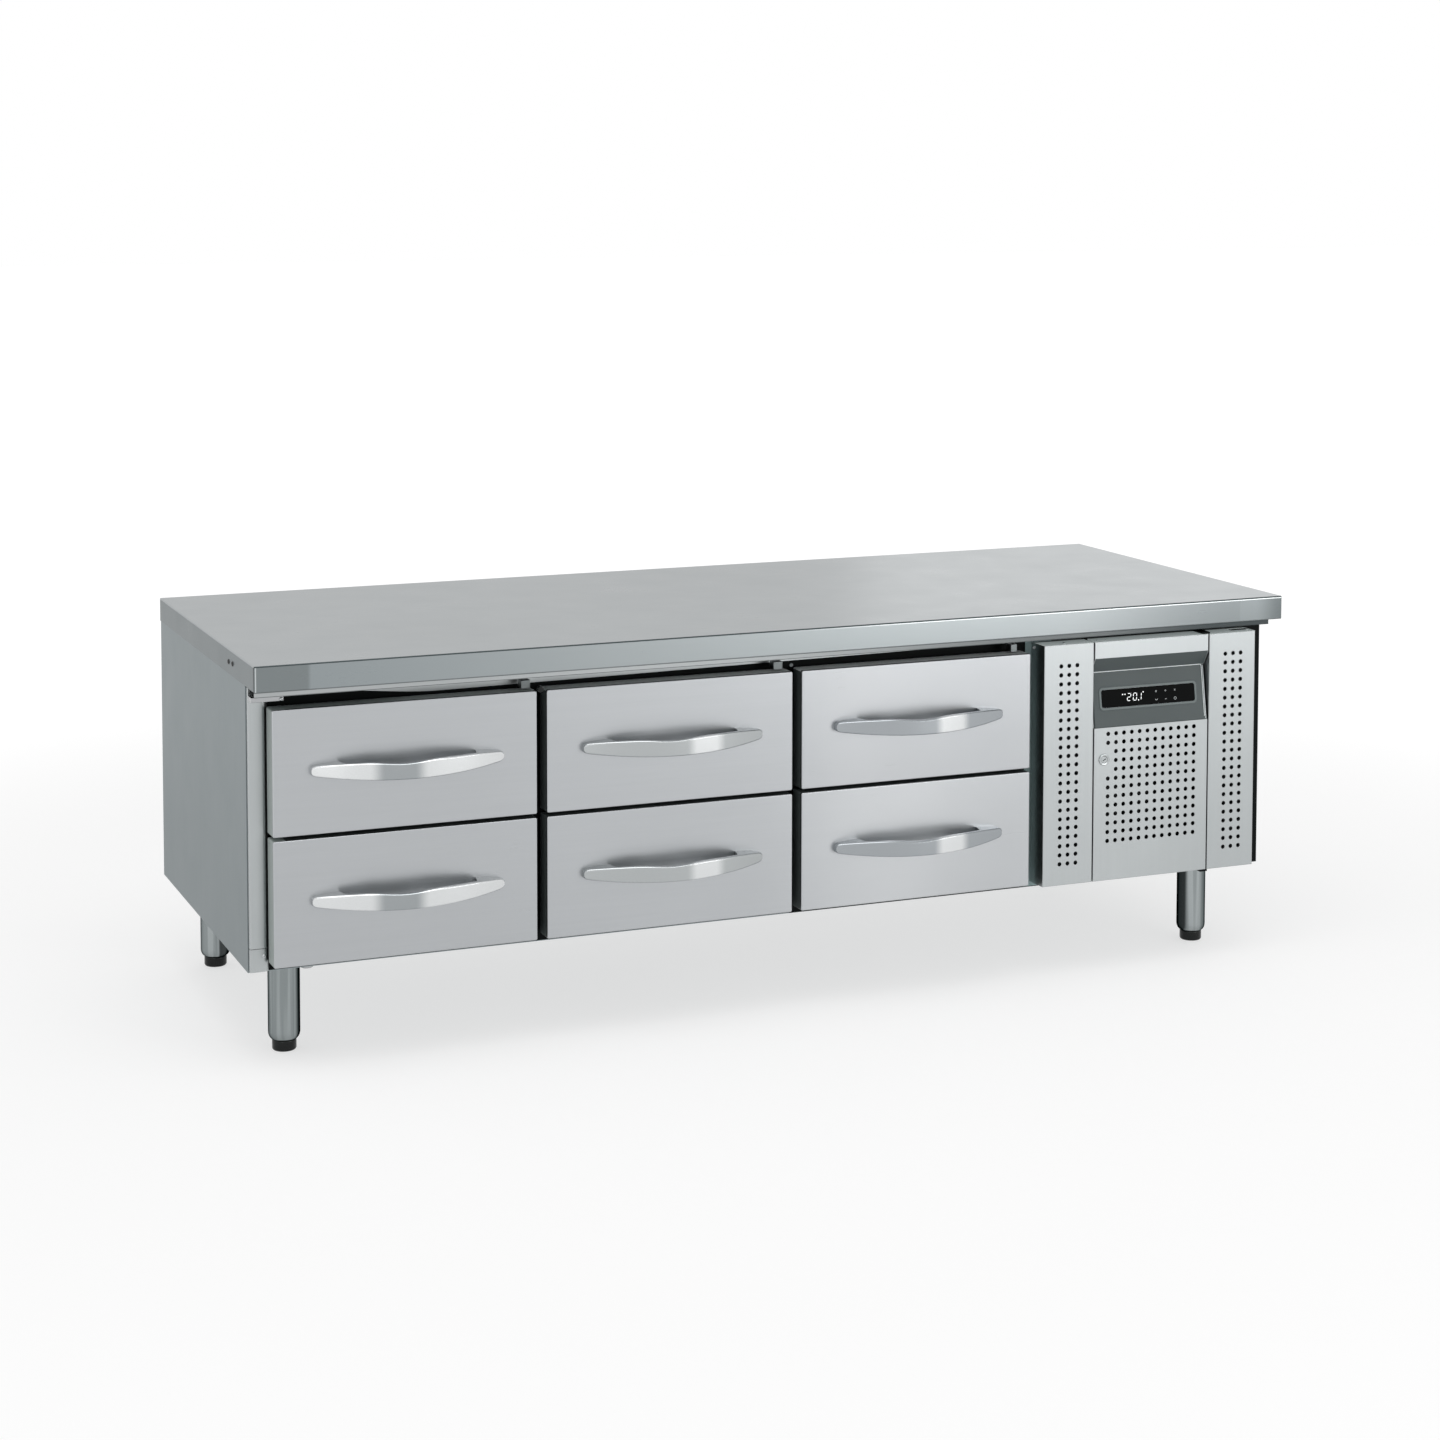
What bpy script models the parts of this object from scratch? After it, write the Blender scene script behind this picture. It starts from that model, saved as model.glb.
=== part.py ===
"""Refrigerated chef base: six drawers in three columns and a machine section on the right.

Metres, +Z up. Every piece is drawn from the corner of the worktop's footprint: x runs right from
its left edge, y runs back from its front edge and z runs up from the floor. The empty
footprint_corner then carries the whole, so that the origin lies under the middle of its box.
"""

import math

import bmesh
import bpy
from mathutils import Matrix, Vector

# Overall
WIDTH = 1.795
DEPTH = 0.700
HEIGHT = 0.630
BODY_CLEARANCE = 0.150  # from the floor to the underside of the body
FIT = 0.0003  # gap between pieces that touch
SHEET = 0.0012  # folded sheet steel
CUT_OVERRUN = 0.005  # how far a cutter runs past what it cuts
ROUND_SIDES = 12
PIN_SIDES = 8

# Worktop and the rail under its front edge
WORKTOP_HEIGHT = 0.040
WORKTOP_LIP = 0.025
WORKTOP_EDGE_RADIUS = 0.002
TOP_RAIL_END_INSET = 0.007
TOP_RAIL_SETBACK = 0.030
TOP_RAIL_HEIGHT = 0.013

# Casing
CASE_INSET = 0.0015
CASE_SHEET = 0.0010
VENT_COUNT = 7
VENT_WIDTH = 0.200
VENT_HEIGHT = 0.008
VENT_PITCH = 0.030

# Drawer fronts
COLUMN_COUNT = 3
SIDE_MARGIN = 0.03125
DRAWER_GAP = 0.01625
DRAWER_SEAM = 0.006
DRAWER_TOP_GAP = 0.032
DRAWER_BOTTOM_GAP = 0.015
FACE_SETBACK = 0.020
FRONT_THICKNESS = 0.035
FRONT_EDGE_BEVEL = 0.0012
GASKET_THICKNESS = 0.0104
GASKET_WIDTH = 0.014
GASKET_INSET = 0.003
GASKET_LIP = 0.003

# Front frame, whose openings lie just inside the gaskets
OPENING_EASE = 0.0005
FRAME_DEPTH = 0.024

# Insulated box
LINER_SHEET = 0.0008
MACHINE_WALL = 0.045
BACK_WALL = 0.045

# Drawer trays that carry one gastronorm 1/1 pan each by its rim, and their slides
TRAY_LEDGE = 0.02475  # how far the ledge under the pan's rim reaches in
TRAY_SIDE_GAP = 0.014
TRAY_BACK_GAP = 0.0395
TRAY_HEAD_GAP = 0.0025
TRAY_RIM = 0.005
TRAY_SKIRT = 0.050
SLIDE_STANDOFF = 0.003
SLIDE_REACH = 0.0075
SLIDE_BAR_HEIGHT = 0.029
SLIDE_PLAY = 0.0005
SLIDE_DROP = 0.020
SLIDE_BACK_GAP = 0.006
POST_DEPTH = 0.030
POST_END_INSET = 0.010

# Handles
HANDLE_LENGTH = 0.303
HANDLE_DROP = 0.0875  # from the drawer's top edge to the handle's top at its ends
HANDLE_END_HEIGHT = 0.015
HANDLE_ARCH = 0.0048
HANDLE_BELLY = 0.0082
HANDLE_END_REACH = 0.010
HANDLE_BOW = 0.038
HANDLE_THICKNESS = 0.008
HANDLE_FOOT_LENGTH = 0.0445
HANDLE_FOOT_FILLET = 0.004
HANDLE_EDGE = 0.0025
HANDLE_SCOOP = 0.0045  # how much wider the top edge is rounded in the middle, for the fingers
HANDLE_SCOOP_HALF = 0.065
HANDLE_END_ROUND = 0.005
HANDLE_STATIONS = 10
BOW_POWER = 2.0
ARCH_POWER = 4.0
BELLY_POWER = 2.0

# Machine section's front: a fixed strip, a hinged middle panel and another fixed strip
STRIP_WIDTH = 0.0945
DOOR_WIDTH = 0.2225
PANEL_JOINT = 0.002
GRILLE_GAP = 0.02625
RIGHT_MARGIN = 0.037
GRILLE_TOP_GAP = 0.021
GRILLE_BOTTOM_GAP = 0.0095
STRIP_INNER_FLANGE = 0.022
DOOR_DEPTH = 0.025
DOOR_FLANGE_DEPTH = 0.040
DOOR_FLANGE_RELIEF = 0.007
FRAME_LIP = 0.014
HOLE_PITCH = 0.0153
HOLE_RADIUS = 0.00375
HOLE_SIDES = 6
STRIP_COLUMNS = 3
STRIP_ROWS = 23
DOOR_COLUMNS = 12
DOOR_ROWS = 13
DOOR_HOLES_TOP = 0.158  # from the panel's top to the first row of holes
LOCK_SKIPPED_ROWS = (2, 3, 4)  # rows left out of the first column, beside the lock
FLANGE_SLOT_LENGTH = 0.036
FLANGE_SLOT_DEPTH = 0.014

# Controls in the middle panel
DOOR_BAND = 0.029
RECESS_HEIGHT = 0.025
RECESS_DEPTH = 0.014
FASCIA_HEIGHT = 0.093
FASCIA_THICKNESS = 0.003
FASCIA_SIDE_INSET = 0.0015
FASCIA_BEVEL = 0.0012
DISPLAY_WIDTH = 0.182
DISPLAY_HEIGHT = 0.030
DISPLAY_DEPTH = 0.022
DISPLAY_DROP = 0.046
DISPLAY_PROUD = 0.0006
DISPLAY_CORNER = 0.004
DISPLAY_SHIFT = -0.003

# Door pivots and lock
PIVOT_INSET = 0.004
PIN_RADIUS = 0.002
PIN_PLAY = 0.0003
PIN_LENGTH = 0.007
HINGE_TAB_THICKNESS = 0.003
HINGE_TAB_HALF_WIDTH = 0.007
HINGE_TAB_SETBACK = 0.0005
LOCK_INSET = 0.0192
LOCK_DROP = 0.2015  # from the panel's top to the lock's middle
LOCK_HEAD_RADIUS = 0.010
LOCK_HEAD_PROUD = 0.0022
LOCK_BARREL_RADIUS = 0.008
LOCK_PLUG_RADIUS = 0.0058
LOCK_PLUG_RECESS = 0.0006
LOCK_PLAY = 0.0003
CAM_LENGTH = 0.030
CAM_WIDTH = 0.014
CAM_THICKNESS = 0.002

# Legs and feet
LEG_RADIUS = 0.025
LEG_TAPER = 0.005
LEG_SIDES = 12
LEG_PLATE = 0.100
LEG_PLATE_THICKNESS = 0.003
LEG_X_LEFT = 0.076
LEG_X_RIGHT = 0.083
LEG_Y_FRONT = 0.147
LEG_Y_REAR = 0.061
FOOT_RADIUS = 0.019
FOOT_HEIGHT = 0.018
FOOT_CHAMFER = 0.002
STEM_RADIUS = 0.008
STEM_LENGTH = 0.055

# Machinery behind the grille
BASE_INSET = 0.006
BASE_LIP = 0.015
CONDENSER_WIDTH = 0.330
CONDENSER_HEIGHT = 0.300
CONDENSER_DEPTH = 0.040
CONDENSER_SETBACK = 0.012
CONDENSER_SIDE_GAP = 0.060
CONDENSER_FINS = 16
FIN_SPINE_SHARE = 0.25
FIN_FILL_SHARE = 0.45
SHROUD_THICKNESS = 0.0015
FAN_RADIUS = 0.115
FAN_TIP_GAP = 0.006
FAN_DEPTH = 0.020
FAN_BLADES = 5
FAN_HUB_RADIUS = 0.028
FAN_BLADE_THICKNESS = 0.0015
FAN_TWIST_SHARES = (0.95, 0.45)
BLADE_ROOT_SHARE = 0.8
BLADE_SWEEP_SHARE = 0.8
SHAFT_RADIUS = 0.004
MOTOR_RADIUS = 0.036
MOTOR_LENGTH = 0.052
MOTOR_END_SHARE = 0.8  # radius of a motor's flat end
MOTOR_ROUNDING_SHARE = 0.15  # length over which it grows to the full radius
STRAP_WIDTH = 0.020
STRAP_THICKNESS = 0.003
COMPRESSOR_RADIUS = 0.076
COMPRESSOR_HEIGHT = 0.190
COMPRESSOR_X = 0.175  # from the right end of the machine section
COMPRESSOR_Y = 0.250  # from the back of the cabinet
COMPRESSOR_BASE = 0.176
COMPRESSOR_BASE_THICKNESS = 0.006
COMPRESSOR_FOOT_SHARE = 0.80
COMPRESSOR_SHARES = (  # of its radius and of its height, from below to the dome
    (0.97, 0.18),
    (0.97, 0.48),
    (1.06, 0.50),
    (1.06, 0.54),
    (0.95, 0.56),
    (0.93, 0.74),
    (0.72, 0.92),
    (0.36, 1.00),
)
PIPE_RADIUS = 0.003
PIPE_RISE = 0.050
PIPE_BEND = 0.030
PIPE_BEND_STEPS = 3
PIPE_STUB = 0.008
CONTROL_BOX_WIDTH = 0.060
CONTROL_BOX_DEPTH = 0.110
CONTROL_BOX_HEIGHT = 0.150
CONTROL_BOX_BEVEL = 0.004
CONTROL_BOX_BACK_GAP = 0.100

# Evaporator, in an insulated chamber that opens into the cold space
CHAMBER_REACH = 0.130
CHAMBER_LENGTH = 0.215
CHAMBER_WALL = 0.030
CHAMBER_HEAD_GAP = 0.025
COVER_OVERLAP = 0.008
COVER_THICKNESS = 0.0015
COVER_FAN_RADIUS = 0.076
COVER_SLOT_HEIGHT = 0.010
COVER_SLOT_PITCH = 0.022
EVAPORATOR_WIDTH = 0.050
EVAPORATOR_FINS = 10
COLD_FAN_RADIUS = 0.070
COLD_FAN_DEPTH = 0.014
COLD_FAN_HUB = 0.020
COLD_MOTOR_RADIUS = 0.028
COLD_MOTOR_LENGTH = 0.030

# Heights that follow
BODY_TOP = HEIGHT - WORKTOP_HEIGHT
BODY_HEIGHT = BODY_TOP - BODY_CLEARANCE
DRAWER_HEIGHT = (BODY_HEIGHT - DRAWER_TOP_GAP - DRAWER_BOTTOM_GAP - DRAWER_SEAM) / 2
GRILLE_TOP = BODY_TOP - GRILLE_TOP_GAP
GRILLE_BOTTOM = BODY_CLEARANCE + GRILLE_BOTTOM_GAP
FLOOR_TOP = BODY_CLEARANCE + CASE_SHEET

# Depths that follow
FRONT_BACK = FACE_SETBACK + FRONT_THICKNESS
FRAME_FRONT = FRONT_BACK + GASKET_THICKNESS + 2 * FIT
FRAME_BACK = FRAME_FRONT + FRAME_DEPTH
CAVITY_BACK = DEPTH - BACK_WALL
HANDLE_REACH = HANDLE_END_REACH + HANDLE_BOW + FIT
OVERHANG = HANDLE_REACH - FACE_SETBACK  # how far the handles stand out past the worktop

# Widths that follow
GRILLE_WIDTH = 2 * STRIP_WIDTH + 2 * PANEL_JOINT + DOOR_WIDTH
GRILLE_LEFT = WIDTH - RIGHT_MARGIN - GRILLE_WIDTH
DRAWERS_WIDTH = GRILLE_LEFT - GRILLE_GAP - SIDE_MARGIN
DRAWER_WIDTH = (DRAWERS_WIDTH - (COLUMN_COUNT - 1) * DRAWER_GAP) / COLUMN_COUNT
LAP = GASKET_INSET + GASKET_WIDTH + OPENING_EASE
OPENING_WIDTH = DRAWER_WIDTH - 2 * LAP
DOOR_LEFT = GRILLE_LEFT + STRIP_WIDTH + PANEL_JOINT
DOOR_RIGHT = DOOR_LEFT + DOOR_WIDTH
GRILLE_RIGHT = GRILLE_LEFT + GRILLE_WIDTH

LEVELS = ("lower", "upper")


def drawer_left(column):
    return SIDE_MARGIN + column * (DRAWER_WIDTH + DRAWER_GAP)


def drawer_bottom(level):
    return BODY_CLEARANCE + DRAWER_BOTTOM_GAP + level * (DRAWER_HEIGHT + DRAWER_SEAM)


def opening_left(column):
    return drawer_left(column) + LAP


def opening_right(column):
    return opening_left(column) + OPENING_WIDTH


def opening_heights(level):
    """Bottom and top of a drawer's opening in the front frame."""
    return drawer_bottom(level) + LAP, drawer_bottom(level) + DRAWER_HEIGHT - LAP


def ledge_height(level):
    """Top of the ledge that a pan's rim hangs on."""
    return opening_heights(level)[1] - TRAY_HEAD_GAP - TRAY_RIM


CAVITY_LEFT = opening_left(0)
CAVITY_RIGHT = opening_right(COLUMN_COUNT - 1)
CAVITY_BOTTOM = opening_heights(0)[0]
CAVITY_TOP = opening_heights(1)[1]
MACHINE_LEFT = CAVITY_RIGHT + MACHINE_WALL
MACHINE_RIGHT = WIDTH - CASE_INSET - CASE_SHEET
CHAMBER_BACK = CAVITY_BACK
CHAMBER_FRONT = CHAMBER_BACK - CHAMBER_LENGTH
CHAMBER_BOTTOM = CAVITY_BOTTOM + CHAMBER_HEAD_GAP
CHAMBER_TOP = CAVITY_TOP - CHAMBER_HEAD_GAP
CHAMBER_RIGHT = CAVITY_RIGHT + CHAMBER_REACH
BASE_FLOOR = FLOOR_TOP + FIT + SHEET  # top of the machine tray's floor
LEG_BOTTOM = FOOT_HEIGHT + FIT
LEG_TOP = BODY_CLEARANCE - FIT

for old in list(bpy.data.objects):
    bpy.data.objects.remove(old, do_unlink=True)

SCENE = bpy.context.scene
CORNER = bpy.data.objects.new("footprint_corner", None)
CORNER.location = (-WIDTH / 2, -(DEPTH - OVERHANG) / 2, 0)
SCENE.collection.objects.link(CORNER)


def material(name, colour, roughness, metallic):
    made = bpy.data.materials.new(name)
    made.use_nodes = True
    shader = made.node_tree.nodes["Principled BSDF"]
    shader.inputs["Base Color"].default_value = (*colour, 1)
    shader.inputs["Roughness"].default_value = roughness
    shader.inputs["Metallic"].default_value = metallic
    return made


BRUSHED = material("brushed_steel", (0.62, 0.63, 0.64), 0.32, 1.0)
DARK_STEEL = material("inner_steel", (0.45, 0.46, 0.47), 0.42, 1.0)
SATIN = material("satin_aluminium", (0.78, 0.79, 0.80), 0.24, 1.0)
FOAM = material("insulation_foam", (0.80, 0.74, 0.52), 0.90, 0.0)
RUBBER = material("gasket_rubber", (0.03, 0.03, 0.03), 0.70, 0.0)
FOOT_PLASTIC = material("foot_plastic", (0.02, 0.02, 0.02), 0.50, 0.0)
FASCIA_GREY = material("fascia_grey", (0.09, 0.10, 0.11), 0.45, 0.0)
GLOSS_BLACK = material("display_black", (0.005, 0.005, 0.006), 0.08, 0.0)
BLACK_PAINT = material("machine_black", (0.02, 0.02, 0.02), 0.45, 0.0)
FIN_ALUMINIUM = material("fin_aluminium", (0.70, 0.71, 0.72), 0.40, 1.0)
COPPER = material("copper_pipe", (0.75, 0.38, 0.22), 0.30, 1.0)
CHROME = material("lock_chrome", (0.75, 0.75, 0.76), 0.12, 1.0)


def from_bmesh(name, bm, finish, smooth=False):
    """Turns a bmesh drawn from the footprint's corner into a named object."""
    mesh = bpy.data.meshes.new(name)
    bm.to_mesh(mesh)
    bm.free()
    if smooth:
        mesh.shade_smooth()
        mesh.set_sharp_from_angle(angle=math.radians(35))
    made = bpy.data.objects.new(name, mesh)
    if finish:
        made.data.materials.append(finish)
    SCENE.collection.objects.link(made)
    made.parent = CORNER
    return made


def box(name, low, high, finish=None):
    bm = bmesh.new()
    bmesh.ops.create_cube(bm, size=1)
    size = Vector(high) - Vector(low)
    bmesh.ops.scale(bm, vec=size, verts=bm.verts)
    bmesh.ops.translate(bm, vec=(Vector(low) + Vector(high)) / 2, verts=bm.verts)
    return from_bmesh(name, bm, finish)


def prism(name, outline, axis, start, end, finish=None):
    """Extrudes an outline along x, y or z. Its points hold the two other coordinates in order."""
    bm = bmesh.new()
    corners = []
    for a, b in outline:
        point = [a, b]
        point.insert("xyz".index(axis), start)
        corners.append(bm.verts.new(point))
    face = bm.faces.new(corners)
    grown = bmesh.ops.extrude_face_region(bm, geom=[face])["geom"]
    step = [0, 0, 0]
    step["xyz".index(axis)] = end - start
    moved = [item for item in grown if isinstance(item, bmesh.types.BMVert)]
    bmesh.ops.translate(bm, vec=step, verts=moved)
    bmesh.ops.recalc_face_normals(bm, faces=bm.faces)
    return from_bmesh(name, bm, finish)


def lathe(name, profile, centre, axis, sides, finish=None):
    """Spins a profile of (radius, height) points about an axis through centre."""
    bm = bmesh.new()
    points = [bm.verts.new((radius, 0, height)) for radius, height in profile]
    edges = [bm.edges.new(pair) for pair in zip(points, points[1:])]
    bmesh.ops.spin(
        bm, geom=points + edges, cent=(0, 0, 0), axis=(0, 0, 1), angle=math.tau, steps=sides
    )
    bmesh.ops.remove_doubles(bm, verts=bm.verts, dist=FIT / 100)
    turn = {
        "x": Matrix.Rotation(math.pi / 2, 4, "Y"),
        "y": Matrix.Rotation(-math.pi / 2, 4, "X"),
        "z": Matrix.Identity(4),
    }[axis]
    bmesh.ops.transform(bm, matrix=Matrix.Translation(centre) @ turn, verts=bm.verts)
    bmesh.ops.recalc_face_normals(bm, faces=bm.faces)
    return from_bmesh(name, bm, finish, smooth=True)


def cylinder(name, radius, centre, axis, start, end, sides, finish=None):
    profile = [(0, start), (radius, start), (radius, end), (0, end)]
    return lathe(name, profile, centre, axis, sides, finish)


def ring(name, low, high, section, up, finish=None):
    """Sweeps a closed section round a rectangle with mitred corners.

    low and high are the rectangle's corners in the two coordinates other than up. A section
    point is its distance in from the rectangle and its height along up.
    """
    bm = bmesh.new()
    loops = []
    for side_a, side_b in ((0, 0), (1, 0), (1, 1), (0, 1)):
        loop = []
        for inset, height in section:
            a = high[0] - inset if side_a else low[0] + inset
            b = high[1] - inset if side_b else low[1] + inset
            point = [a, b]
            point.insert("xyz".index(up), height)
            loop.append(bm.verts.new(point))
        loops.append(loop)
    for here, there in zip(loops, loops[1:] + loops[:1]):
        for i in range(len(section)):
            j = (i + 1) % len(section)
            bm.faces.new((here[i], here[j], there[j], there[i]))
    bmesh.ops.recalc_face_normals(bm, faces=bm.faces)
    return from_bmesh(name, bm, finish)


def helper(made):
    """Marks an object that only shapes another one."""
    made.hide_render = True
    made.display_type = "WIRE"
    return made


def combine(body, operand, operation):
    modifier = body.modifiers.new(operand.name, "BOOLEAN")
    modifier.operation = operation
    modifier.object = helper(operand)
    modifier.solver = "EXACT"
    return body


def cut(body, *cutters):
    for cutter in cutters:
        combine(body, cutter, "DIFFERENCE")
    return body


def fuse(body, *parts):
    for part in parts:
        combine(body, part, "UNION")
    return body


def folded(name, low, high, open_sides, finish, sheet=SHEET):
    """A box folded from sheet steel, open on the sides named by their outward directions."""
    bm = bmesh.new()
    bmesh.ops.create_cube(bm, size=1)
    bmesh.ops.scale(bm, vec=Vector(high) - Vector(low), verts=bm.verts)
    bmesh.ops.translate(bm, vec=(Vector(low) + Vector(high)) / 2, verts=bm.verts)
    bmesh.ops.recalc_face_normals(bm, faces=bm.faces)
    gone = [f for f in bm.faces if any(f.normal.dot(Vector(side)) > 0.9 for side in open_sides)]
    bmesh.ops.delete(bm, geom=gone, context="FACES")
    mesh = bpy.data.meshes.new(name)
    bm.to_mesh(mesh)
    bm.free()
    made = bpy.data.objects.new(name, mesh)
    made.data.materials.append(finish)
    SCENE.collection.objects.link(made)
    made.parent = CORNER
    thicken(made, sheet)
    return made


def thicken(made, sheet):
    wall = made.modifiers.new("sheet", "SOLIDIFY")
    wall.thickness = sheet
    wall.offset = -1
    wall.use_even_offset = True
    return wall


def bevel(made, width, segments=1):
    edge = made.modifiers.new("edges", "BEVEL")
    edge.width = width
    edge.segments = segments
    edge.limit_method = "ANGLE"
    return made


def set_origin(made, pivot):
    """Moves an object's origin to a point, such as one on its joint's axis."""
    made.data.transform(Matrix.Translation(-Vector(pivot)))
    made.location = pivot
    return made


def offset_path(path, distance):
    """The same open path moved sideways by a distance, with its corners kept sharp."""
    moved = []
    for i, (a, b) in enumerate(path):
        normals = []
        for first, second in ((i - 1, i), (i, i + 1)):
            if first < 0 or second >= len(path):
                continue
            run = Vector(path[second]) - Vector(path[first])
            normals.append(Vector((-run.y, run.x)).normalized())
        middle = sum(normals, Vector((0, 0))).normalized()
        reach = distance / middle.dot(normals[0])
        moved.append((a + middle.x * reach, b + middle.y * reach))
    return moved


def make_worktop():
    """A folded pan with its skirt turned in under the edge."""
    bm = bmesh.new()
    bmesh.ops.create_cube(bm, size=1)
    bmesh.ops.scale(bm, vec=(WIDTH, DEPTH, WORKTOP_HEIGHT), verts=bm.verts)
    bmesh.ops.translate(bm, vec=(WIDTH / 2, DEPTH / 2, BODY_TOP + WORKTOP_HEIGHT / 2), verts=bm.verts)
    bmesh.ops.recalc_face_normals(bm, faces=bm.faces)
    under = [f for f in bm.faces if f.normal.z < -0.9]
    bmesh.ops.inset_region(bm, faces=under, thickness=WORKTOP_LIP)
    bmesh.ops.delete(bm, geom=[f for f in bm.faces if f in under], context="FACES")
    rim = [e for e in bm.edges if all(v.co.z > BODY_TOP + WORKTOP_HEIGHT / 2 for v in e.verts)]
    bmesh.ops.bevel(bm, geom=rim, offset=WORKTOP_EDGE_RADIUS, segments=2, affect="EDGES", profile=0.5)
    mesh = bpy.data.meshes.new("worktop")
    bm.to_mesh(mesh)
    bm.free()
    made = bpy.data.objects.new("worktop", mesh)
    made.data.materials.append(BRUSHED)
    SCENE.collection.objects.link(made)
    made.parent = CORNER
    thicken(made, SHEET)
    return made


def make_top_rail():
    """A channel that closes the gap under the worktop. Its open side faces the frame."""
    low = BODY_TOP - FIT - TOP_RAIL_HEIGHT
    path = [
        (FRAME_FRONT - FIT, low),
        (TOP_RAIL_SETBACK, low),
        (TOP_RAIL_SETBACK, BODY_TOP - FIT),
        (FRAME_FRONT - FIT, BODY_TOP - FIT),
    ]
    outline = path + offset_path(path, -SHEET)[::-1]
    return prism("top_rail", outline, "x", TOP_RAIL_END_INSET, WIDTH - TOP_RAIL_END_INSET, BRUSHED)


def make_casing():
    """Left side, underside, right side and back, with air slots behind the machinery."""
    low = (CASE_INSET, FRAME_FRONT, BODY_CLEARANCE)
    high = (WIDTH - CASE_INSET, DEPTH, BODY_TOP - FIT)
    made = folded("outer_casing", low, high, ((0, -1, 0), (0, 0, 1)), BRUSHED, CASE_SHEET)
    middle = (CHAMBER_RIGHT + CHAMBER_WALL + MACHINE_RIGHT) / 2
    bm = bmesh.new()
    for row in range(VENT_COUNT):
        height = BODY_CLEARANCE + BODY_HEIGHT / 2 + (row - (VENT_COUNT - 1) / 2) * VENT_PITCH
        place = Matrix.Translation((middle, DEPTH, height))
        size = Matrix.Diagonal((VENT_WIDTH, 2 * CUT_OVERRUN, VENT_HEIGHT, 1))
        bmesh.ops.create_cube(bm, size=1, matrix=place @ size)
    return cut(made, from_bmesh("vent_cutter", bm, None))


def make_front_frame():
    """Pillars, mullions and rails that the gaskets close on, with the panel's two pivot pins."""
    left = CASE_INSET + CASE_SHEET + FIT
    right = WIDTH - left
    low = BODY_CLEARANCE + CASE_SHEET + FIT
    high = BODY_TOP - FIT
    made = box("front_frame", (left, FRAME_FRONT, low), (right, FRAME_BACK, high), BRUSHED)
    bm = bmesh.new()
    middle = (FRAME_FRONT + FRAME_BACK) / 2
    spans = []
    for column in range(COLUMN_COUNT):
        for level in range(len(LEVELS)):
            spans.append((opening_left(column), opening_right(column), *opening_heights(level)))
    spans.append(
        (
            GRILLE_LEFT + FRAME_LIP,
            GRILLE_RIGHT - FRAME_LIP,
            GRILLE_BOTTOM + FRAME_LIP,
            GRILLE_TOP - FRAME_LIP,
        )
    )
    for x0, x1, z0, z1 in spans:
        place = Matrix.Translation(((x0 + x1) / 2, middle, (z0 + z1) / 2))
        size = Matrix.Diagonal((x1 - x0, FRAME_DEPTH + 2 * CUT_OVERRUN, z1 - z0, 1))
        bmesh.ops.create_cube(bm, size=1, matrix=place @ size)
    cut(made, from_bmesh("opening_cutter", bm, None))
    x, y = pivot_place()
    tab_front = FACE_SETBACK + HINGE_TAB_SETBACK
    tab_back = FRAME_FRONT + FRAME_DEPTH / 2
    for name, z, turn in (("top", GRILLE_TOP + FIT, 1), ("bottom", GRILLE_BOTTOM - FIT, -1)):
        far = z + turn * HINGE_TAB_THICKNESS
        tab = box(
            f"hinge_tab_{name}",
            (x - HINGE_TAB_HALF_WIDTH, tab_front, min(z, far)),
            (x + HINGE_TAB_HALF_WIDTH, tab_back, max(z, far)),
        )
        middle = z + turn * HINGE_TAB_THICKNESS / 2
        pin = cylinder(
            f"hinge_pin_{name}",
            PIN_RADIUS,
            (x, y, 0),
            "z",
            min(middle, z - turn * PIN_LENGTH),
            max(middle, z - turn * PIN_LENGTH),
            PIN_SIDES,
        )
        fuse(made, tab, pin)
    return made


def make_insulation():
    """Foam between casing and liner, with a chamber for the evaporator beside the machinery."""
    edge = CASE_INSET + CASE_SHEET + FIT
    back = DEPTH - CASE_SHEET - FIT
    low = FLOOR_TOP + FIT
    made = box("insulation", (edge, FRAME_BACK + FIT, low), (MACHINE_LEFT, back, BODY_TOP - FIT), FOAM)
    chamber = box(
        "chamber_walls",
        (CAVITY_RIGHT + MACHINE_WALL / 2, CHAMBER_FRONT - CHAMBER_WALL, CHAMBER_BOTTOM - CHAMBER_WALL),
        (CHAMBER_RIGHT + CHAMBER_WALL, back, CHAMBER_TOP + CHAMBER_WALL),
    )
    cavity = box(
        "cavity_cutter",
        (CAVITY_LEFT, FRAME_BACK - CUT_OVERRUN, CAVITY_BOTTOM),
        (CAVITY_RIGHT, CAVITY_BACK, CAVITY_TOP),
    )
    hollow = box(
        "chamber_cutter",
        (CAVITY_RIGHT - CUT_OVERRUN, CHAMBER_FRONT, CHAMBER_BOTTOM),
        (CHAMBER_RIGHT, CHAMBER_BACK, CHAMBER_TOP),
    )
    fuse(made, chamber)
    return cut(made, cavity, hollow)


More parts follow.
